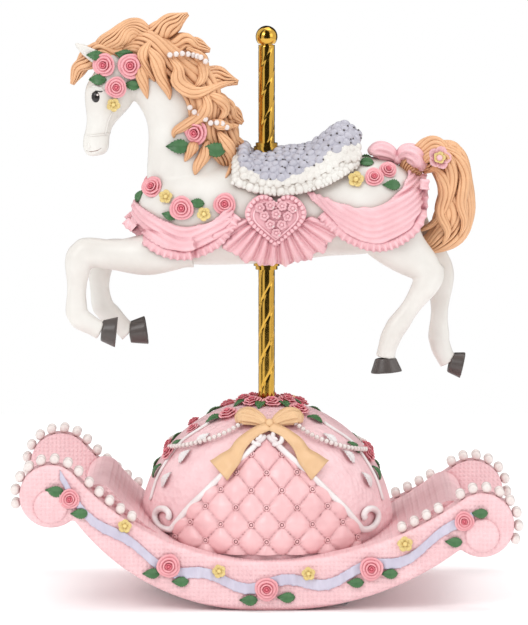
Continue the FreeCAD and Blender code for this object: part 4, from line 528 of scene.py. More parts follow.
FLEECE = painted("fleece_lavender", (0.49, 0.48, 0.54), (0.20, 0.19, 0.25), rough=0.4, hollow_shade=0.9, reach=2)
HAIR = painted("hair_tan", (0.83, 0.48, 0.26), (0.36, 0.13, 0.05),
               grain="hair", rough=0.5, hollow_shade=0.9, reach=2.4)
HOOF = painted("hoof_brown", (0.085, 0.07, 0.065), (0.03, 0.025, 0.022), rough=0.35)
ROSE = painted("rose_pink", (0.88, 0.43, 0.46), (0.66, 0.12, 0.17), hollow_shade=0.85, reach=1.4, rough=0.4)
BUD = painted("rose_heart", (0.80, 0.22, 0.27), (0.50, 0.05, 0.09), hollow_shade=0.8, reach=0.8, rough=0.4)
LEAF = painted("leaf_green", (0.066, 0.19, 0.066), (0.015, 0.06, 0.025), hollow_shade=0.6, reach=1.2, rough=0.45)
BLOSSOM = painted("blossom_yellow", (0.82, 0.66, 0.27), (0.50, 0.28, 0.06), hollow_shade=0.7, reach=1.0)
RIBBON = painted("ribbon_lavender", (0.60, 0.57, 0.68), (0.26, 0.20, 0.34), rough=0.36, hollow_shade=0.6, reach=1.5)
PEACH = painted("bow_peach", (0.78, 0.51, 0.28), (0.50, 0.24, 0.10), rough=0.4, hollow_shade=0.7, reach=2)
PEARL = painted("pearl_ivory", (0.80, 0.74, 0.71), (0.50, 0.30, 0.28),
                rough=0.18, hollow_shade=0.45, reach=1.2, coat=0.6)
LIP = painted("lip_grey", (0.34, 0.25, 0.22), (0.2, 0.13, 0.11))
DARK = painted("eye_dark", (0.012, 0.009, 0.008), (0.004, 0.003, 0.003), rough=0.3, coat=0.3)
BLACK = painted("cover_black", (0.03, 0.03, 0.032), (0.01, 0.01, 0.01), rough=0.55)
IVORY = painted("fly_ivory", (0.80, 0.78, 0.72), (0.4, 0.38, 0.34), rough=0.5)
BRASS = bare_metal("pole_brass", (0.72, 0.42, 0.075), 0.12)
STEEL = bare_metal("steel", (0.62, 0.62, 0.64), 0.3)
ZINC = painted("zinc_grey", (0.42, 0.42, 0.43), (0.2, 0.2, 0.2), rough=0.42, metallic=0.8)

SLOT_MATERIALS = {
    "pink_resin": PINK, "quilt_resin": QUILT, "white_resin": WHITE, "trim_resin": TRIM, "drape_resin": DRAPE,
    "fleece_resin": FLEECE, "hair_resin": HAIR, "hoof_resin": HOOF, "rose_resin": ROSE, "leaf_resin": LEAF,
    "blossom_resin": BLOSSOM, "ribbon_resin": RIBBON, "bow_resin": PEACH, "pearl_plastic": PEARL,
    "brass": BRASS, "steel": STEEL, "zinc_casting": ZINC, "black_plastic": BLACK, "fly_plastic": IVORY}


def dress_nodes():
    """Gives every node that stays the finish of its slot."""
    for part in frame["record"]["subparts"]:
        node = frame["nodes"][part["node"]]
        material = DOME_PINK if part["node"] == "dome" else SLOT_MATERIALS[part["material_slot"]]
        if not node.material_slots:
            node.data.materials.append(material)
        for place in node.material_slots:
            place.material = material


# Flowers and leaves

def rose_shapes():
    """Rose of unit radius: rings of cupped outer petals, and the tight petals and bud at its heart."""
    outer, heart = Shape(), Shape()
    # Each layer's count of petals, spread, height and cup
    layers = ((3, 0.30, 0.95, 0.80), (4, 0.52, 0.86, 0.70), (5, 0.78, 0.66, 0.62), (6, 1.0, 0.42, 0.56))
    for level, (count, spread, height, cup) in enumerate(layers):
        half = math.pi / count * 1.35
        for k in range(count):
            middle = 2 * math.pi * (k + 0.5 * level) / count
            rows = []
            for j in range(6):
                up = j / 5
                row = []
                for i in range(7):
                    across = 2 * i / 6 - 1
                    angle = middle + half * across * (0.45 + 0.55 * math.sin(up * math.pi * 0.6))
                    lift = 1 - 0.28 * across * across * up
                    flare = 0.22 * max(0, up - 0.7) / 0.3
                    r = spread * (0.35 + (1 - cup * 0.6) * up ** 0.8 + flare) * 0.94
                    r *= 1 - 0.06 * across * (1 if k % 2 else -1)
                    z = height * (math.sin(up * 0.5 * math.pi) * lift - 0.12 * flare)
                    row.append((r * math.cos(angle), r * math.sin(angle), z))
                rows.append(row)
            (outer if level else heart).grid(rows)
    heart.ball((0, 0, 0.52), 0.2, stretch=(1, 1, 1.7))
    outer.ball((0, 0, 0.1), 0.62, stretch=(1, 1, 0.5))
    return outer, heart


def leaf_shape():
    """Leaf of unit length along +Y, arched, with a sunk midrib and toothed edges."""
    shape = Shape()
    rows = []
    for j in range(17):
        t = j / 16
        half = 0.3 * math.sin(math.pi * min(1, t ** 0.75)) * (1 + 0.1 * math.cos(16 * math.pi * t)) + 0.004
        row = []
        for i in range(9):
            across = 2 * i / 8 - 1
            vein = 0.02 * math.cos(2 * math.pi * (6 * t - 2.2 * abs(across)))
            z = 0.16 * math.sin(math.pi * t) + 0.12 * abs(across) * (1 - 0.6 * abs(across)) + vein
            row.append((half * across, t - 0.5, z))
        rows.append(row)
    shape.grid(rows)
    return shape


def blossom_shape():
    """Five round petals of unit radius round a button."""
    shape = Shape()
    for k in range(5):
        middle = 2 * math.pi * k / 5
        rows = []
        for j in range(6):
            r = j / 5
            width = 0.66 * math.sqrt(max(0, 1 - (2 * r - 1.05) ** 2)) if r < 1 else 0.18
            rows.append([(math.cos(middle) * r - math.sin(middle) * width * a * 0.75,
                          math.sin(middle) * r + math.cos(middle) * width * a * 0.75,
                          0.22 + 0.3 * r * r + 0.16 * a * a) for a in (-1, -0.5, 0, 0.5, 1)])
        shape.grid(rows)
    shape.ball((0, 0, 0.38), 0.3)
    return shape


ROSE_SHAPE, BUD_SHAPE = rose_shapes()
LEAF_SHAPE, BLOSSOM_SHAPE = leaf_shape(), blossom_shape()


def outward_of(node, centre, tree):
    """Direction in which an ornament faces, and the surface under it where the horse carries it."""
    side = math.copysign(1, centre[1])
    if node.startswith("dome"):
        return dome_out(Vector(centre)), None
    if node.startswith("horse"):
        hit = seen_from(tree, centre[0], centre[2], side)
        if hit[0] and hit[0].y * side > 0:
            return (hit[1] + Vector((0, 0.9 * side, 0))).normalized(), hit[0] / MM
    return Vector((0, side, 0)), None


def dressed_ornaments(node, shapes, slot, growth, solid, tree, lift=0.15, leafy=False):
    """Finer ornaments in the places of a node's solids. Shapes are (shape, material) pairs."""
    groups = [Shape() for pair in shapes]
    for points in loose_parts(node):
        centre = points.mean(axis=0)
        out, seat = outward_of(node, centre, tree)
        away = points - centre
        height = away @ np.array(out)
        flat = away - np.outer(height, np.array(out))
        longest = Vector(np.linalg.eigh(flat.T @ flat)[1][:, 2])
        reach = np.abs(flat @ np.array(longest)).max()
        place = seat + out * 0.1 if seat else Vector(centre) + out * (height.min() + lift)
        turn = longest if leafy else Vector((math.cos(centre[0]), 0.1, math.sin(centre[0])))
        size = (2 if leafy else 1) * reach * growth
        for group, (shape, material) in zip(groups, shapes):
            group.placed(shape, place, out, turn, size)
    for number, (group, (shape, material)) in enumerate(zip(groups, shapes)):
        name = "dressed_" + node + ("_hearts" if number else "")
        group.piece(name, material, slot, replaces=() if number else (node,), solid=solid)


def beads(shape, path, radius, pitch):
    """Round beads strung along a path."""
    left = 0.0
    for a, b in zip(path, path[1:]):
        a, b = Vector(a), Vector(b)
        run = (b - a).length
        while left <= run:
            shape.ball(a.lerp(b, left / run if run else 0), radius, sides=10)
            left += pitch
        left -= run


# Horse

def side_lock(shape, points, half, tree, side):
    """Loose lock lying on a surface: a core and twisted strands that draw together at its tip."""
    samples = smooth_path(points, 30)
    centre, widths = [], []
    for i, (x, z) in enumerate(samples):
        along = i / (len(samples) - 1)
        widths.append(half * min(1, 0.2 + 2.6 * along) * (1 - along ** 2.6) + 0.12)
        rise = 0.35 * widths[-1] - max(0.0, 1 - 5 * along)
        centre.append(Vector((x, side_y(tree, x, z, side, 4) + side * rise, z)))
    for smoothing in range(3):
        ends = centre[:1] + centre + centre[-1:]
        centre = [(a + 2 * b + c) / 4 for a, b, c in zip(ends, centre, ends[2:])]
    shape.tube(centre, [0.8 * w for w in widths], sides=12)
    out = Vector((0, 1, 0))
    for k in range(LOCK_STRANDS):
        path = []
        for i, (place, along) in enumerate(zip(centre, tangents(centre))):
            angle = 2 * math.pi * k / LOCK_STRANDS + 2.2 * i / len(centre)
            turned = along.cross(out) * math.cos(angle) + out * math.sin(angle)
            path.append(place + turned * widths[i] * 0.72)
        shape.tube(path, [0.42 * w for w in widths])


def hair(locks, loose, name, slot_node):
    """Ridged wavy locks: strands laid round each lock, turning slowly along it and drawn to a point."""
    shape = Shape()
    tree = surface_over("horse_body", slot_node)
    for side in SIDES:
        for points, half in loose:
            side_lock(shape, points, half, tree, side)
    across = Vector((0, 1, 0))
    for number, lock in enumerate(locks):
        samples = smooth_path(lock, 40)
        centre = [Vector((s[0], 0, s[1])) for s in samples]
        uprights = [along.cross(across) for along in tangents(centre)]
        shape.tube(centre, [0.72 * min(s[2], s[3]) for s in samples], sides=14)
        for count, spread, thick in LONG_STRANDS if len(lock) >= LONG_POINTS else SHORT_STRANDS:
            for k, turn in enumerate(turns(count)):
                path, radii = [], []
                for i, s in enumerate(samples):
                    along = i / (len(samples) - 1)
                    angle = turn + 1.3 * along * (1 if number % 2 else -1)
                    angle += HAIR_SWAY * math.sin(HAIR_WAVES * along + 0.4 * math.sin(turn))
                    swell = spread * (1 + HAIR_SWELL * math.sin(HAIR_WAVES * along + 2 * turn))
                    path.append(centre[i] + uprights[i] * (math.cos(angle) * s[2] * swell)
                                + across * (math.sin(angle) * s[3] * swell))
                    fat = 0.85 + 0.25 * math.sin(5 * along + k)
                    radii.append(max(0.15, thick * min(s[2], s[3]) * fat))
                shape.tube(path, radii, sides=8)
    shape.piece(name, HAIR, "hair_resin", replaces=(slot_node,))


def horse():
    """Horse blended from the cast body and legs, with its face and bridle. Returns a search tree over it."""
    names = ("horse_body", "near_foreleg", "far_foreleg", "near_hind_leg", "far_hind_leg")
    mesh = remeshed(names, voxel=0.55, relax=14)
    finished("horse", mesh, WHITE, replaces=names)
    tree = surface_of(mesh)
    eyes, glint, lids, lips, straps = Shape(), Shape(), Shape(), Shape(), Shape()
    for side in SIDES:
        y = side_y(tree, *EYE, side, 5.0)
        eyes.ball((EYE[0], y - side * 0.5, EYE[1]), 2.0, stretch=(1.0, 0.6, 1.15))
        glint.ball((GLINT[0], y + side * 0.5, GLINT[1]), 0.45)
        eyes.tube(laid(tree, LASH, side, 5), [0.1, 0.3, 0.28, 0.08])
        lids.tube(laid(tree, BROW, side, 5, -0.2), [0.2, 0.7, 0.7, 0.2])
        lids.ball(laid(tree, [NOSTRIL], side, 2.4)[0], 0.9, stretch=(0.8, 0.5, 1.3))
        lips.tube(laid(tree, MOUTH, side, 2), [0.1, 0.2, 0.2, 0.1])
        straps.tube(laid(tree, smooth_path(CHEEK_STRAP, 16), side, 5), 0.4)
    band = []
    for angle in turns(32) + [2 * math.pi]:
        across, lean = math.cos(angle), math.sin(angle)
        band.append((NOSE_BAND[0] + 4.85 * across, 4.55 * lean, NOSE_BAND[1] + 0.6 * across))
    straps.tube(band, 0.35)
    eyes.piece("horse_eyes", DARK, "hoof_resin")
    glint.piece("eye_glints", PEARL, "pearl_plastic")
    lids.piece("horse_lids", WHITE, "white_resin")
    lips.piece("horse_lips", LIP, "white_resin")
    straps.piece("bridle", WHITE, "white_resin")
    return tree


def ruffle(shape, tree, hem, side, count):
    """Strip with a count of frills, hanging from a hem that lies on the horse."""
    path = smooth_path(hem, FRILL_STEPS)
    rows = [[], [], [], []]
    for i, place in enumerate(path):
        run = path[min(i + 1, len(path) - 1)] - path[max(i - 1, 0)]
        along = run / max(1e-6, np.linalg.norm(run))
        down = np.array((along[1], -along[0]))
        if down[1] > 0:
            down = -down
        turn = 2 * math.pi * i * count / FRILL_STEPS
        y = side_y(tree, place[0], place[1], side, 14)
        for level, row in enumerate(rows):
            t = level / (len(rows) - 1)
            fall = FRILL_DROP * t * (1 + 0.05 * math.sin(turn))
            spot = place + down * fall + along * (0.2 * t * math.cos(turn))
            stand = FRILL_LIFT + t * (0.8 + FRILL_WAVE * math.sin(turn))
            row.append((spot[0], y + side * stand, spot[1]))
    shape.grid(rows)


def folds(middle):
    """Height of the folds in a drape that hangs about a place along the horse."""
    def height(p, n):
        run = p.z - 0.03 * (p.x - middle) ** 2 + 0.5 * math.sin(0.35 * p.x)
        return 0.75 * math.sin(1.25 * run) ** 2 * (1 if abs(n.y) > 0.25 else 0.3)
    return height


def drapes(tree):
    """Draped cloth with folds and frills."""
    for node, middle in (("breast_drape", BREAST_MIDDLE), ("rump_drape", RUMP_MIDDLE)):
        mesh = remeshed((node,), voxel=0.45, relax=4)
        displaced(mesh, folds(middle))
        finished("dressed_" + node, mesh, DRAPE, replaces=(node,))
    frills = Shape()
    for side in SIDES:
        ruffle(frills, tree, BREAST_HEM, side, BREAST_FRILLS)
        ruffle(frills, tree, RUMP_HEM, side, RUMP_FRILLS)
    frills.piece("drape_frills", DRAPE, "drape_resin", solid=0.5)


def heart_frill(p, n):
    """Height of the frills that stand round a heart."""
    return 1.1 * math.sin(30 * math.atan2(p.z - HEART_Z, p.x - HEART_X)) * (abs(n.y) > 0.3)


def hearts():
    """Heart pads with their frills, beaded rims, flowers and seed pearls."""
    mesh = remeshed(("heart_ruffles",), voxel=0.45, relax=3)
    widened(mesh, HEART_WIDER, HEART_X)
    displaced(mesh, heart_frill)
    finished("dressed_heart_ruffles", mesh, DRAPE, replaces=("heart_ruffles",))
    mesh = remeshed(("heart_pads",), voxel=0.4, relax=6)
    widened(mesh, HEART_WIDER, HEART_X)
    pads = surface_of(mesh)
    finished("dressed_heart_pads", mesh, HEART, replaces=("heart_pads",))
    low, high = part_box("heart_pads")
    middle = Vector((0.5 * (low[0] + high[0]), 0, 0.5 * (low[2] + high[2]))) / MM
    rim, flowers, seeds = Shape(), Shape(), Shape()
    for side in SIDES:
        edge = []
        for angle in turns(HEART_RAYS) + [2 * math.pi]:
            right, up = math.cos(angle), math.sin(angle)
            reach = 0.0
            for step in range(10, 180):
                hit = seen_from(pads, middle.x + 0.1 * step * right, middle.z + 0.1 * step * up, side)
                if hit[0] is None or hit[0].y * side < 0:
                    break
                reach = 0.1 * step
            edge.append((middle.x + 0.9 * reach * right, middle.z + 0.9 * reach * up))
        beads(rim, laid(pads, edge, side, 18), HEART_BEAD_SIZE, HEART_BEAD_PITCH)
        inner = [(middle.x + 0.8 * (x - middle.x), middle.z + 0.8 * (z - middle.z)) for x, z in edge]
        rim.tube(laid(pads, inner, side, 18), 0.5)
        for number, (right, up) in enumerate(HEART_FLOWERS):
            spot = (middle.x + 0.95 * right, middle.z + 0.9 * up + 1.2)
            x, y, z = laid(pads, [spot], side, 18)[0]
            turn = (math.sin(number), 0, math.cos(number))
            flowers.placed(BLOSSOM_SHAPE, (x, y, z), (0, side, 0), turn, HEART_FLOWER_SIZE)
            if number % 2:
                seeds.ball((x + 1.2, y + side * 0.7, z - 0.9), 0.45, sides=10)
    rim.piece("heart_beads", DRAPE, "drape_resin")
    flowers.piece("heart_flowers", DRAPE, "drape_resin", solid=0.15)
    seeds.piece("heart_pearls", PEARL, "pearl_plastic")


def loop(shape, path, outs, halves_out, halves_wide):
    """Full, pleated loop of a bow along a path, with its half thickness outward and half width across."""
    rows = []
    last = len(path) - 1
    for i, (place, along) in enumerate(zip(path, tangents(path))):
        across = along.cross(outs[i]).normalized()
        row = []
        for angle in turns(LOOP_SIDES):
            pleat = 1 + 0.13 * math.sin(9 * angle) * math.sin(math.pi * min(1, 1.4 * i / last))
            row.append(place + outs[i] * (halves_out[i] * pleat * math.cos(angle))
                       + across * (halves_wide[i] * pleat * math.sin(angle)))
        rows.append(row)
    shape.grid([[path[0]] * LOOP_SIDES] + rows + [[path[-1]] * LOOP_SIDES], closed=True)


def rump_bow():
    """Pleated bow on the rump, its rear loop drooping, gathered at a knot, and a rosette on the tail."""
    shape, buttons = Shape(), Shape()
    for run in RUMP_BOW:
        samples = smooth_path(run, 22)
        path = [Vector((p[0], 0, p[1])) for p in samples]
        outs = [along.cross(Vector((0, -1, 0))) for along in tangents(path)]
        loop(shape, path, outs, [p[2] for p in samples], [p[3] for p in samples])
    shape.ball(RUMP_KNOT, 2.4, stretch=(0.9, 1.3, 1))
    tail = surface_over("tail")
    for side in SIDES:
        place = Vector(laid(tail, [ROSETTE], side, 5, 2.6)[0])
        facing = (0.2, side, 0.3)
        shape.placed(BLOSSOM_SHAPE, place, facing, (0, 0, 1), 4.6)
        buttons.placed(BLOSSOM_SHAPE, place + Vector((0.2, side * 1.2, 0.4)), facing, (0, 0, 1), 2.4)
    shape.piece("dressed_rump_bow", DRAPE, "drape_resin", replaces=("rump_bow",))
    buttons.piece("tail_blossoms", BLOSSOM, "blossom_resin", solid=0.15)


def spread_points(mesh, pitch, keep):
    """Points and normals over a mesh, no two nearer than a pitch."""
    taken = {}
    out = []
    for vert in mesh.vertices:
        place = vert.co / MM
        cell = tuple(int(math.floor(c / pitch)) for c in place)
        near = [taken.get((cell[0] + a, cell[1] + b, cell[2] + c), ())
                for a in (-1, 0, 1) for b in (-1, 0, 1) for c in (-1, 0, 1)]
        if not keep(place, vert.normal) or any((place - q).length < pitch for group in near for q in group):
            continue
        taken.setdefault(cell, []).append(place)
        out.append((place, vert.normal.copy()))
    return out


def in_skirt(place):
    """Whether a place of the saddle lies below the line at which its curls end."""
    return place.z < np.interp(place.x, *zip(*CURL_LINE))


def saddle():
    """Saddle of lavender curls with painted shade among them, small dark balls sunk between the curls, over a
    white fleecy skirt with a beaded hem.
    """
    curls, knobs, curl_shade = Shape(), Shape(), Shape()
    mesh = remeshed(("saddle_seat",), voxel=0.45, relax=8)
    knob_sink = KNOB_SIZE - KNOB_RISE
    for number, (place, normal) in enumerate(spread_points(mesh, CURL_PITCH, lambda p, n: n.z > -0.3)):
        if in_skirt(place):
            knobs.ball(place - normal * knob_sink, KNOB_SIZE, sides=16)
            continue
        size = CURL_SIZE + 0.2 * math.sin(5 * place.x)
        curls.ball(place - normal * (CURL_SIZE - CURL_RISE), size, sides=16)
        aside = normal.cross(Vector((math.sin(number), math.cos(number), 0.3))).normalized()
        # Painted shade: a small dark ball sunk in the gap beside each curl
        curl_shade.ball(place + aside * 0.5 * CURL_PITCH + normal * 0.1, CURL_SHADE_SIZE, sides=8)
    finished("dressed_saddle_seat", mesh, FLEECE, replaces=("saddle_seat",))
    mesh.materials.append(WHITE)
    for face in mesh.polygons:
        face.material_index = int(in_skirt(face.center / MM))
    curls.piece("saddle_curls", FLEECE, "fleece_resin")
    # Painted shade between the curls, in the dark hoof finish
    curl_shade.piece("painted_curl_shade", HOOF, "fleece_resin")
    mesh = remeshed(("saddle_fleece",), voxel=0.4, relax=2)
    for place, normal in spread_points(mesh, KNOB_PITCH, lambda p, n: abs(n.y) > 0.2 and n.y * p.y > 0):
        knobs.ball(place - normal * knob_sink, KNOB_SIZE, sides=16)
    tree = surface_of(mesh)
    for side in SIDES:
        hem = [(x, side_y(tree, x, z + 0.8, side, 17), z) for x, z in smooth_path(FLEECE_EDGE, 40)]
        beads(knobs, hem, HEM_BEAD_SIZE, HEM_BEAD_PITCH)
    finished("dressed_saddle_fleece", mesh, WHITE, replaces=("saddle_fleece",))
    knobs.piece("fleece_knobs", WHITE, "fleece_resin")


# Pole

def pole():
    """Brass tube with a spiral groove worked into it."""
    low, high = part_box("pole")
    foot, top = low[2] / MM, high[2] / MM
    shape = Shape()
    rows = []
    for j in range(int((top - foot) / POLE_STEP) + 1):
        z = min(top, foot + POLE_STEP * j)
        row = []
        for angle in turns(POLE_SIDES):
            phase = POLE_STARTS * (angle - 2 * math.pi * z / POLE_PITCH)
            r = POLE_RADIUS - POLE_GROOVE * max(0.0, math.cos(phase)) ** 30
            row.append((r * math.cos(angle), r * math.sin(angle), z))
        rows.append(row)
    rows = [[(0, 0, foot)] * POLE_SIDES] + rows + [[(0, 0, top)] * POLE_SIDES]
    shape.grid(rows, closed=True)
    shape.piece("spiral_pole", BRASS, "brass", replaces=("pole",))


# Base

def dome_out(place):
    """Direction out of the dome at a place."""
    return (place - DOME_CENTRE).normalized()


def on_dome(x, z, side, stand=0.0):
    """Point over the dome at a place of the side view."""
    y = side * math.sqrt(max(0.0, DOME_RADIUS ** 2 - x * x - (z - DOME_CENTRE.z) ** 2))
    place = Vector((x, y, z))
    return place + dome_out(place) * stand


def panel_half(z):
    """Half width of the tufted panel at a height: even below its foot, then drawn in to its apex."""
    return float(np.interp(z, *zip(*PANEL_EDGE)))


def quilt():
    """Tufted panels: puffed diamonds with a ringed button at each corner."""
    panel, buttons = Shape(), Shape()
    columns, lines = 121, 101
    for side in SIDES:
        rows = []
        for j in range(lines):
            z = QUILT_HEM_Z + (QUILT_APEX_Z - QUILT_HEM_Z) * j / (lines - 1)
            row = []
            for i in range(columns):
                x = (panel_half(z) + 0.3) * (2 * i / (columns - 1) - 1)
                u, v = (x / TUFT_WIDE + z / TUFT_HIGH), (x / TUFT_WIDE - z / TUFT_HIGH)
                puff = abs(math.sin(math.pi * u) * math.sin(math.pi * v)) ** 0.4
                du, dv = u - round(u), v - round(v)
                right, up = 0.5 * TUFT_WIDE * (du + dv), 0.5 * TUFT_HIGH * (du - dv)
                pleat = 0.3 * math.sin(7 * math.atan2(up, right)) * math.exp(-math.hypot(right, up) / 2.4)
                row.append(on_dome(x, z, side, 0.2 + TUFT_RISE * puff + pleat))
            rows.append(row)
        panel.grid(rows)
        for a in range(-TUFT_SPAN, TUFT_SPAN + 1):
            for b in range(-TUFT_SPAN, TUFT_SPAN + 1):
                x, z = 0.5 * TUFT_WIDE * (a + b), 0.5 * TUFT_HIGH * (a - b)
                if not QUILT_HEM_Z < z < QUILT_APEX_Z - 2 or abs(x) > panel_half(z) - 0.8:
                    continue
                place = on_dome(x, z, side, 0.5)
                out = dome_out(place)
                buttons.ball(place + out * 0.35, BUTTON_SIZE, sides=10)
                flat = out.orthogonal().normalized()
                other = out.cross(flat)
                ring = [place + out * 0.5 + (flat * math.cos(angle) + other * math.sin(angle)) * BUTTON_RING
                        for angle in turns(12) + [2 * math.pi]]
                buttons.tube(ring, BUTTON_WIRE, sides=6)
    panel.piece("tufted_panels", QUILT, "quilt_resin", replaces=("quilt_panels",))
    buttons.piece("tuft_buttons", QUILT, "quilt_resin")


def scrolls():
    """White scroll bands along the panels, each ending in a curl, with fine ridges and leaves on the dome."""
    shape = Shape()
    for side in SIDES:
        for end in ENDS:
            path = [(end * (half + 0.6), z) for z, half in smooth_path(PANEL_EDGE[::-1], 40)]
            middle_x, middle_z = path[-1][0] + end * 0.5 * FOOT_CURL, path[-1][1] + 0.87 * FOOT_CURL
            for k in range(1, CURL_STEPS + 1):
                angle = math.radians(-60 - 320 * k / CURL_STEPS)
                r = FOOT_CURL * (1 - 0.72 * k / CURL_STEPS)
                path.append((middle_x - end * r * math.cos(angle), middle_z + r * math.sin(angle)))
            shape.tube([on_dome(x, z, side, 1.2) for x, z in path], BAND_SIZE, sides=10)
            curl = []
            for k in range(CURL_STEPS + 1):
                angle = math.radians(-120 + 400 * k / CURL_STEPS)
                r = APEX_CURL * (1 - 0.7 * k / CURL_STEPS)
                x, z = APEX_CURL_X + r * math.cos(angle), APEX_CURL_Z + r * math.sin(angle)
                curl.append(on_dome(end * x, z, side, 2.0))
            shape.tube(curl, APEX_CURL_SIZE, sides=10)
            shape.tube([on_dome(end * x, z, side, 0.3) for x, z in smooth_path(DOME_RIDGE, 24)], 0.7)
            for x, z, lean in SCROLL_LEAVES:
                place = on_dome(end * x, z, side, 0.2)
                shape.placed(LEAF_SHAPE, place, dome_out(place), (-end * lean, 0, 1), SCROLL_LEAF_SIZE)
    shape.piece("scroll_bands", TRIM, "trim_resin", replaces=("scroll_mouldings",))


def swags():
    """Strings of pearls hung over the dome and through the mane."""
    shape = Shape()
    mane = surface_over("horse_body", "mane")
    for side in SIDES:
        for run in MANE_PEARLS:
            beads(shape, laid(mane, smooth_path(run, 30), side, 6, 2.2), 1.15, 2.5)
        for run in DOME_PEARLS:
            beads(shape, [on_dome(x, z, side, 2.0) for x, z in smooth_path(run, 30)], 1.0, 2.05)
    shape.piece("pearl_swags", PEARL, "pearl_plastic")


def bows():
    """Peach bows on the dome: two puffed loops, a knot and two rippled tails on each side."""
    tails, knots = Shape(), Shape()
    for side in SIDES:
        for end in ENDS:
            stations = smooth_path(BOW_LOOP, 24)
            path = [on_dome(BOW_X + end * x, BOW_Z + z, side, 0.8 + thick) for x, z, half, thick in stations]
            outs = [dome_out(place) for place in path]
            loop(knots, path, outs, [p[3] for p in stations], [p[2] for p in stations])
            rows = []
            for width in (-1, -0.33, 0.33, 1):
                row = []
                for k, (x, z) in enumerate(smooth_path(BOW_TAIL, BOW_TAIL_STEPS)):
                    along = k / (BOW_TAIL_STEPS - 1)
                    aside = 0.7 * (1.4 + 3.0 * along ** 2) * width
                    ripple = 0.9 * math.sin(2 * math.pi * k / 14) * along
                    stand = 3.0 + 0.6 * ripple + 0.2 * width
                    row.append(on_dome(BOW_X + end * (x + aside), BOW_Z + z + aside, side, stand))
                rows.append(row)
            tails.grid(rows)
        knots.ball(on_dome(BOW_X, BOW_Z + 0.3, side, 2.4), 1.9, stretch=(0.9, 1, 1.2))
    knots.piece("bow_loops", PEACH, "bow_resin")
    tails.piece("dressed_dome_bows", PEACH, "bow_resin", replaces=("dome_bows",), solid=0.5)


def crown():
    """Ring of roses and leaves on the dome round the foot of the pole."""
    petals, buds, leaves = Shape(), Shape(), Shape()
    ring = ((ROSE_SHAPE, petals, 0.0, CROWN_REACH, CROWN_ROSE_SIZE),
            (BUD_SHAPE, buds, 0.0, CROWN_REACH, CROWN_ROSE_SIZE),
            (LEAF_SHAPE, leaves, 0.5, CROWN_LEAF_REACH, CROWN_LEAF_SIZE))
    for k in range(CROWN_ROSES):
        for shape, group, ahead, reach, size in ring:
            angle = 2 * math.pi * (k + 0.5 + ahead) / CROWN_ROSES
            x, y = reach * math.cos(angle), reach * math.sin(angle)
            place = Vector((x, y, DOME_CENTRE.z + math.sqrt(DOME_RADIUS ** 2 - reach ** 2)))
            facing = place - DOME_CENTRE + Vector((0.8 * x, 0.8 * y, 0))
            group.placed(shape, place, facing, (x, y, 0), size)
    petals.piece("crown_roses", ROSE, "rose_resin", solid=0.12)
    buds.piece("crown_rose_hearts", BUD, "rose_resin", solid=0.12)
    leaves.piece("crown_leaves", LEAF, "leaf_resin", solid=0.4)


def ribbons():
    """Lavender garland ribbons, rippled."""
    mesh = remeshed(("garland_ribbons",), voxel=0.4, relax=3)
    displaced(mesh, lambda p, n: 0.35 * math.sin(1.4 * p.x) if abs(n.y) > 0.5 else 0.0)
    finished("dressed_ribbons", mesh, RIBBON, replaces=("garland_ribbons",))


def pearls():
    """Pearls seated along the edges of the rockers."""
    shape = Shape()
    for points in loose_parts("rocker_pearls"):
        shape.ball(0.5 * (points.min(axis=0) + points.max(axis=0)), PEARL_SIZE, sides=18)
    shape.piece("dressed_pearls", PEARL, "pearl_plastic", replaces=("rocker_pearls",))


# Studio, with its lengths in metres. The dark cards, which only reflections see, are shares of a turn
DARK_CARDS = ((0.03, 0.08), (0.18, 0.35), (0.6, 0.85))
CARD_SHADE = 0.03
CARD_EDGE = 0.015
# Half width of the floor, short enough that the pole mirrors the cards and not the floor
FLOOR_REACH = 0.6
# Each light's name, place, size and power
LIGHTS = (("key", (-0.6, -0.9, 0.8), 0.5, 3.5), ("fill", (0.9, -0.7, 0.5), 0.6, 1.2),
          ("top", (0.15, 0.1, 1.0), 0.6, 2.0))
LIGHT_AIM = Vector((0, 0, 0.11))
CAMERA_PLACE = (0.0, -2.1, 0.306)
CAMERA_AIM = Vector((-0.001, 0, 0.108))
CAMERA_LENS = 314


def aimed(name, data, place, aim):
    """Light or camera at a place, looking at another."""
    made = linked(name, data)
    made.location = place
    made.rotation_euler = (aim - Vector(place)).to_track_quat("-Z", "Y").to_euler()
    return made


def surroundings():
    """White world, in which reflections also see the dark cards."""
    world = bpy.data.worlds.new("studio")
    bpy.context.scene.world = world
    world.use_nodes = True
    tree = world.node_tree
    backdrop = tree.nodes["Background"]
    backdrop.inputs["Strength"].default_value = 1.0
    where = node_of(tree, "ShaderNodeTexCoord")
    turn = node_of(tree, "ShaderNodeTexGradient", gradient_type="RADIAL")
    tree.links.new(where.outputs["Generated"], turn.inputs["Vector"])
    cards = node_of(tree, "ShaderNodeValToRGB")
    for stop in cards.color_ramp.elements:
        stop.color = (1, 1, 1, 1)
    for start, end in DARK_CARDS:
        for stop, shade in ((start - CARD_EDGE, 1.0), (start, CARD_SHADE),
                            (end, CARD_SHADE), (end + CARD_EDGE, 1.0)):
            cards.color_ramp.elements.new(stop).color = (shade, shade, shade, 1)
    tree.links.new(turn.outputs["Fac"], cards.inputs["Fac"])
    ray = node_of(tree, "ShaderNodeLightPath")
    mix = node_of(tree, "ShaderNodeMix", {"A": (1, 1, 1, 1)}, data_type="RGBA")
    tree.links.new(ray.outputs["Is Glossy Ray"], mix.inputs["Factor"])
    tree.links.new(cards.outputs["Color"], mix.inputs["B"])
    tree.links.new(mix.outputs["Result"], backdrop.inputs["Color"])


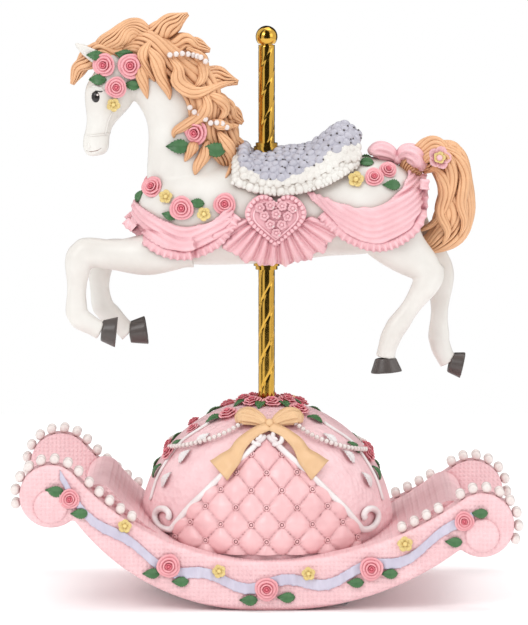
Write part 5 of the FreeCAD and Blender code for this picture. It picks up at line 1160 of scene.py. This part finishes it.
def studio():
    """White floor, soft lights and the camera of the photograph."""
    scene = bpy.context.scene
    scene.view_settings.view_transform = "Standard"
    surroundings()
    ground = bpy.data.meshes.new("floor")
    corners = [(a * FLOOR_REACH, b * FLOOR_REACH, 0) for a, b in ((-1, -1), (1, -1), (1, 1), (-1, 1))]
    ground.from_pydata(corners, [], [(0, 1, 2, 3)])
    floor = linked("floor", ground)
    paint, tree, shader = shader_of("floor_white", {
        "Base Color": (1, 1, 1, 1), "Specular IOR Level": 0.0, "Roughness": 0.7})
    ground.materials.append(paint)
    for name, place, size, power in LIGHTS:
        light = bpy.data.lights.new(name, "AREA")
        light.energy = power
        light.size = size
        aimed(name, light, place, LIGHT_AIM)
    view = bpy.data.cameras.new("camera")
    view.sensor_fit = "VERTICAL"
    view.sensor_height = 36
    view.lens = CAMERA_LENS
    scene.camera = aimed("camera", view, CAMERA_PLACE, CAMERA_AIM)


dress_nodes()
horse_tree = horse()
trim_tree = surface_over("horse_body", "mane", "near_hind_leg", "far_hind_leg", "breast_drape", "rump_drape")
hair(MANE_LOCKS + [FORELOCK], SIDE_LOCKS, "mane_locks", "mane")
hair(TAIL_LOCKS, TAIL_SIDE_LOCKS, "tail_locks", "tail")
drapes(horse_tree)
hearts()
saddle()
pole()
quilt()
scrolls()
swags()
bows()
crown()
ribbons()
pearls()
for node in ("garland_roses", "dome_roses", "horse_roses"):
    dressed_ornaments(node, ((ROSE_SHAPE, ROSE), (BUD_SHAPE, BUD)), "rose_resin", 0.92, 0.12, trim_tree)
for node in ("garland_leaves", "dome_leaves", "horse_leaves"):
    dressed_ornaments(node, ((LEAF_SHAPE, LEAF),), "leaf_resin", 1.05, 0.4, trim_tree, leafy=True)
for node in ("garland_blossoms", "horse_blossoms"):
    dressed_ornaments(node, ((BLOSSOM_SHAPE, BLOSSOM),), "blossom_resin", 1.1, 0.15, trim_tree, lift=1.0)
rump_bow()
mesh = remeshed(("hooves",), voxel=0.4, relax=4)
finished("dressed_hooves", mesh, HOOF, replaces=("hooves",))
studio()
bpy.context.view_layer.update()
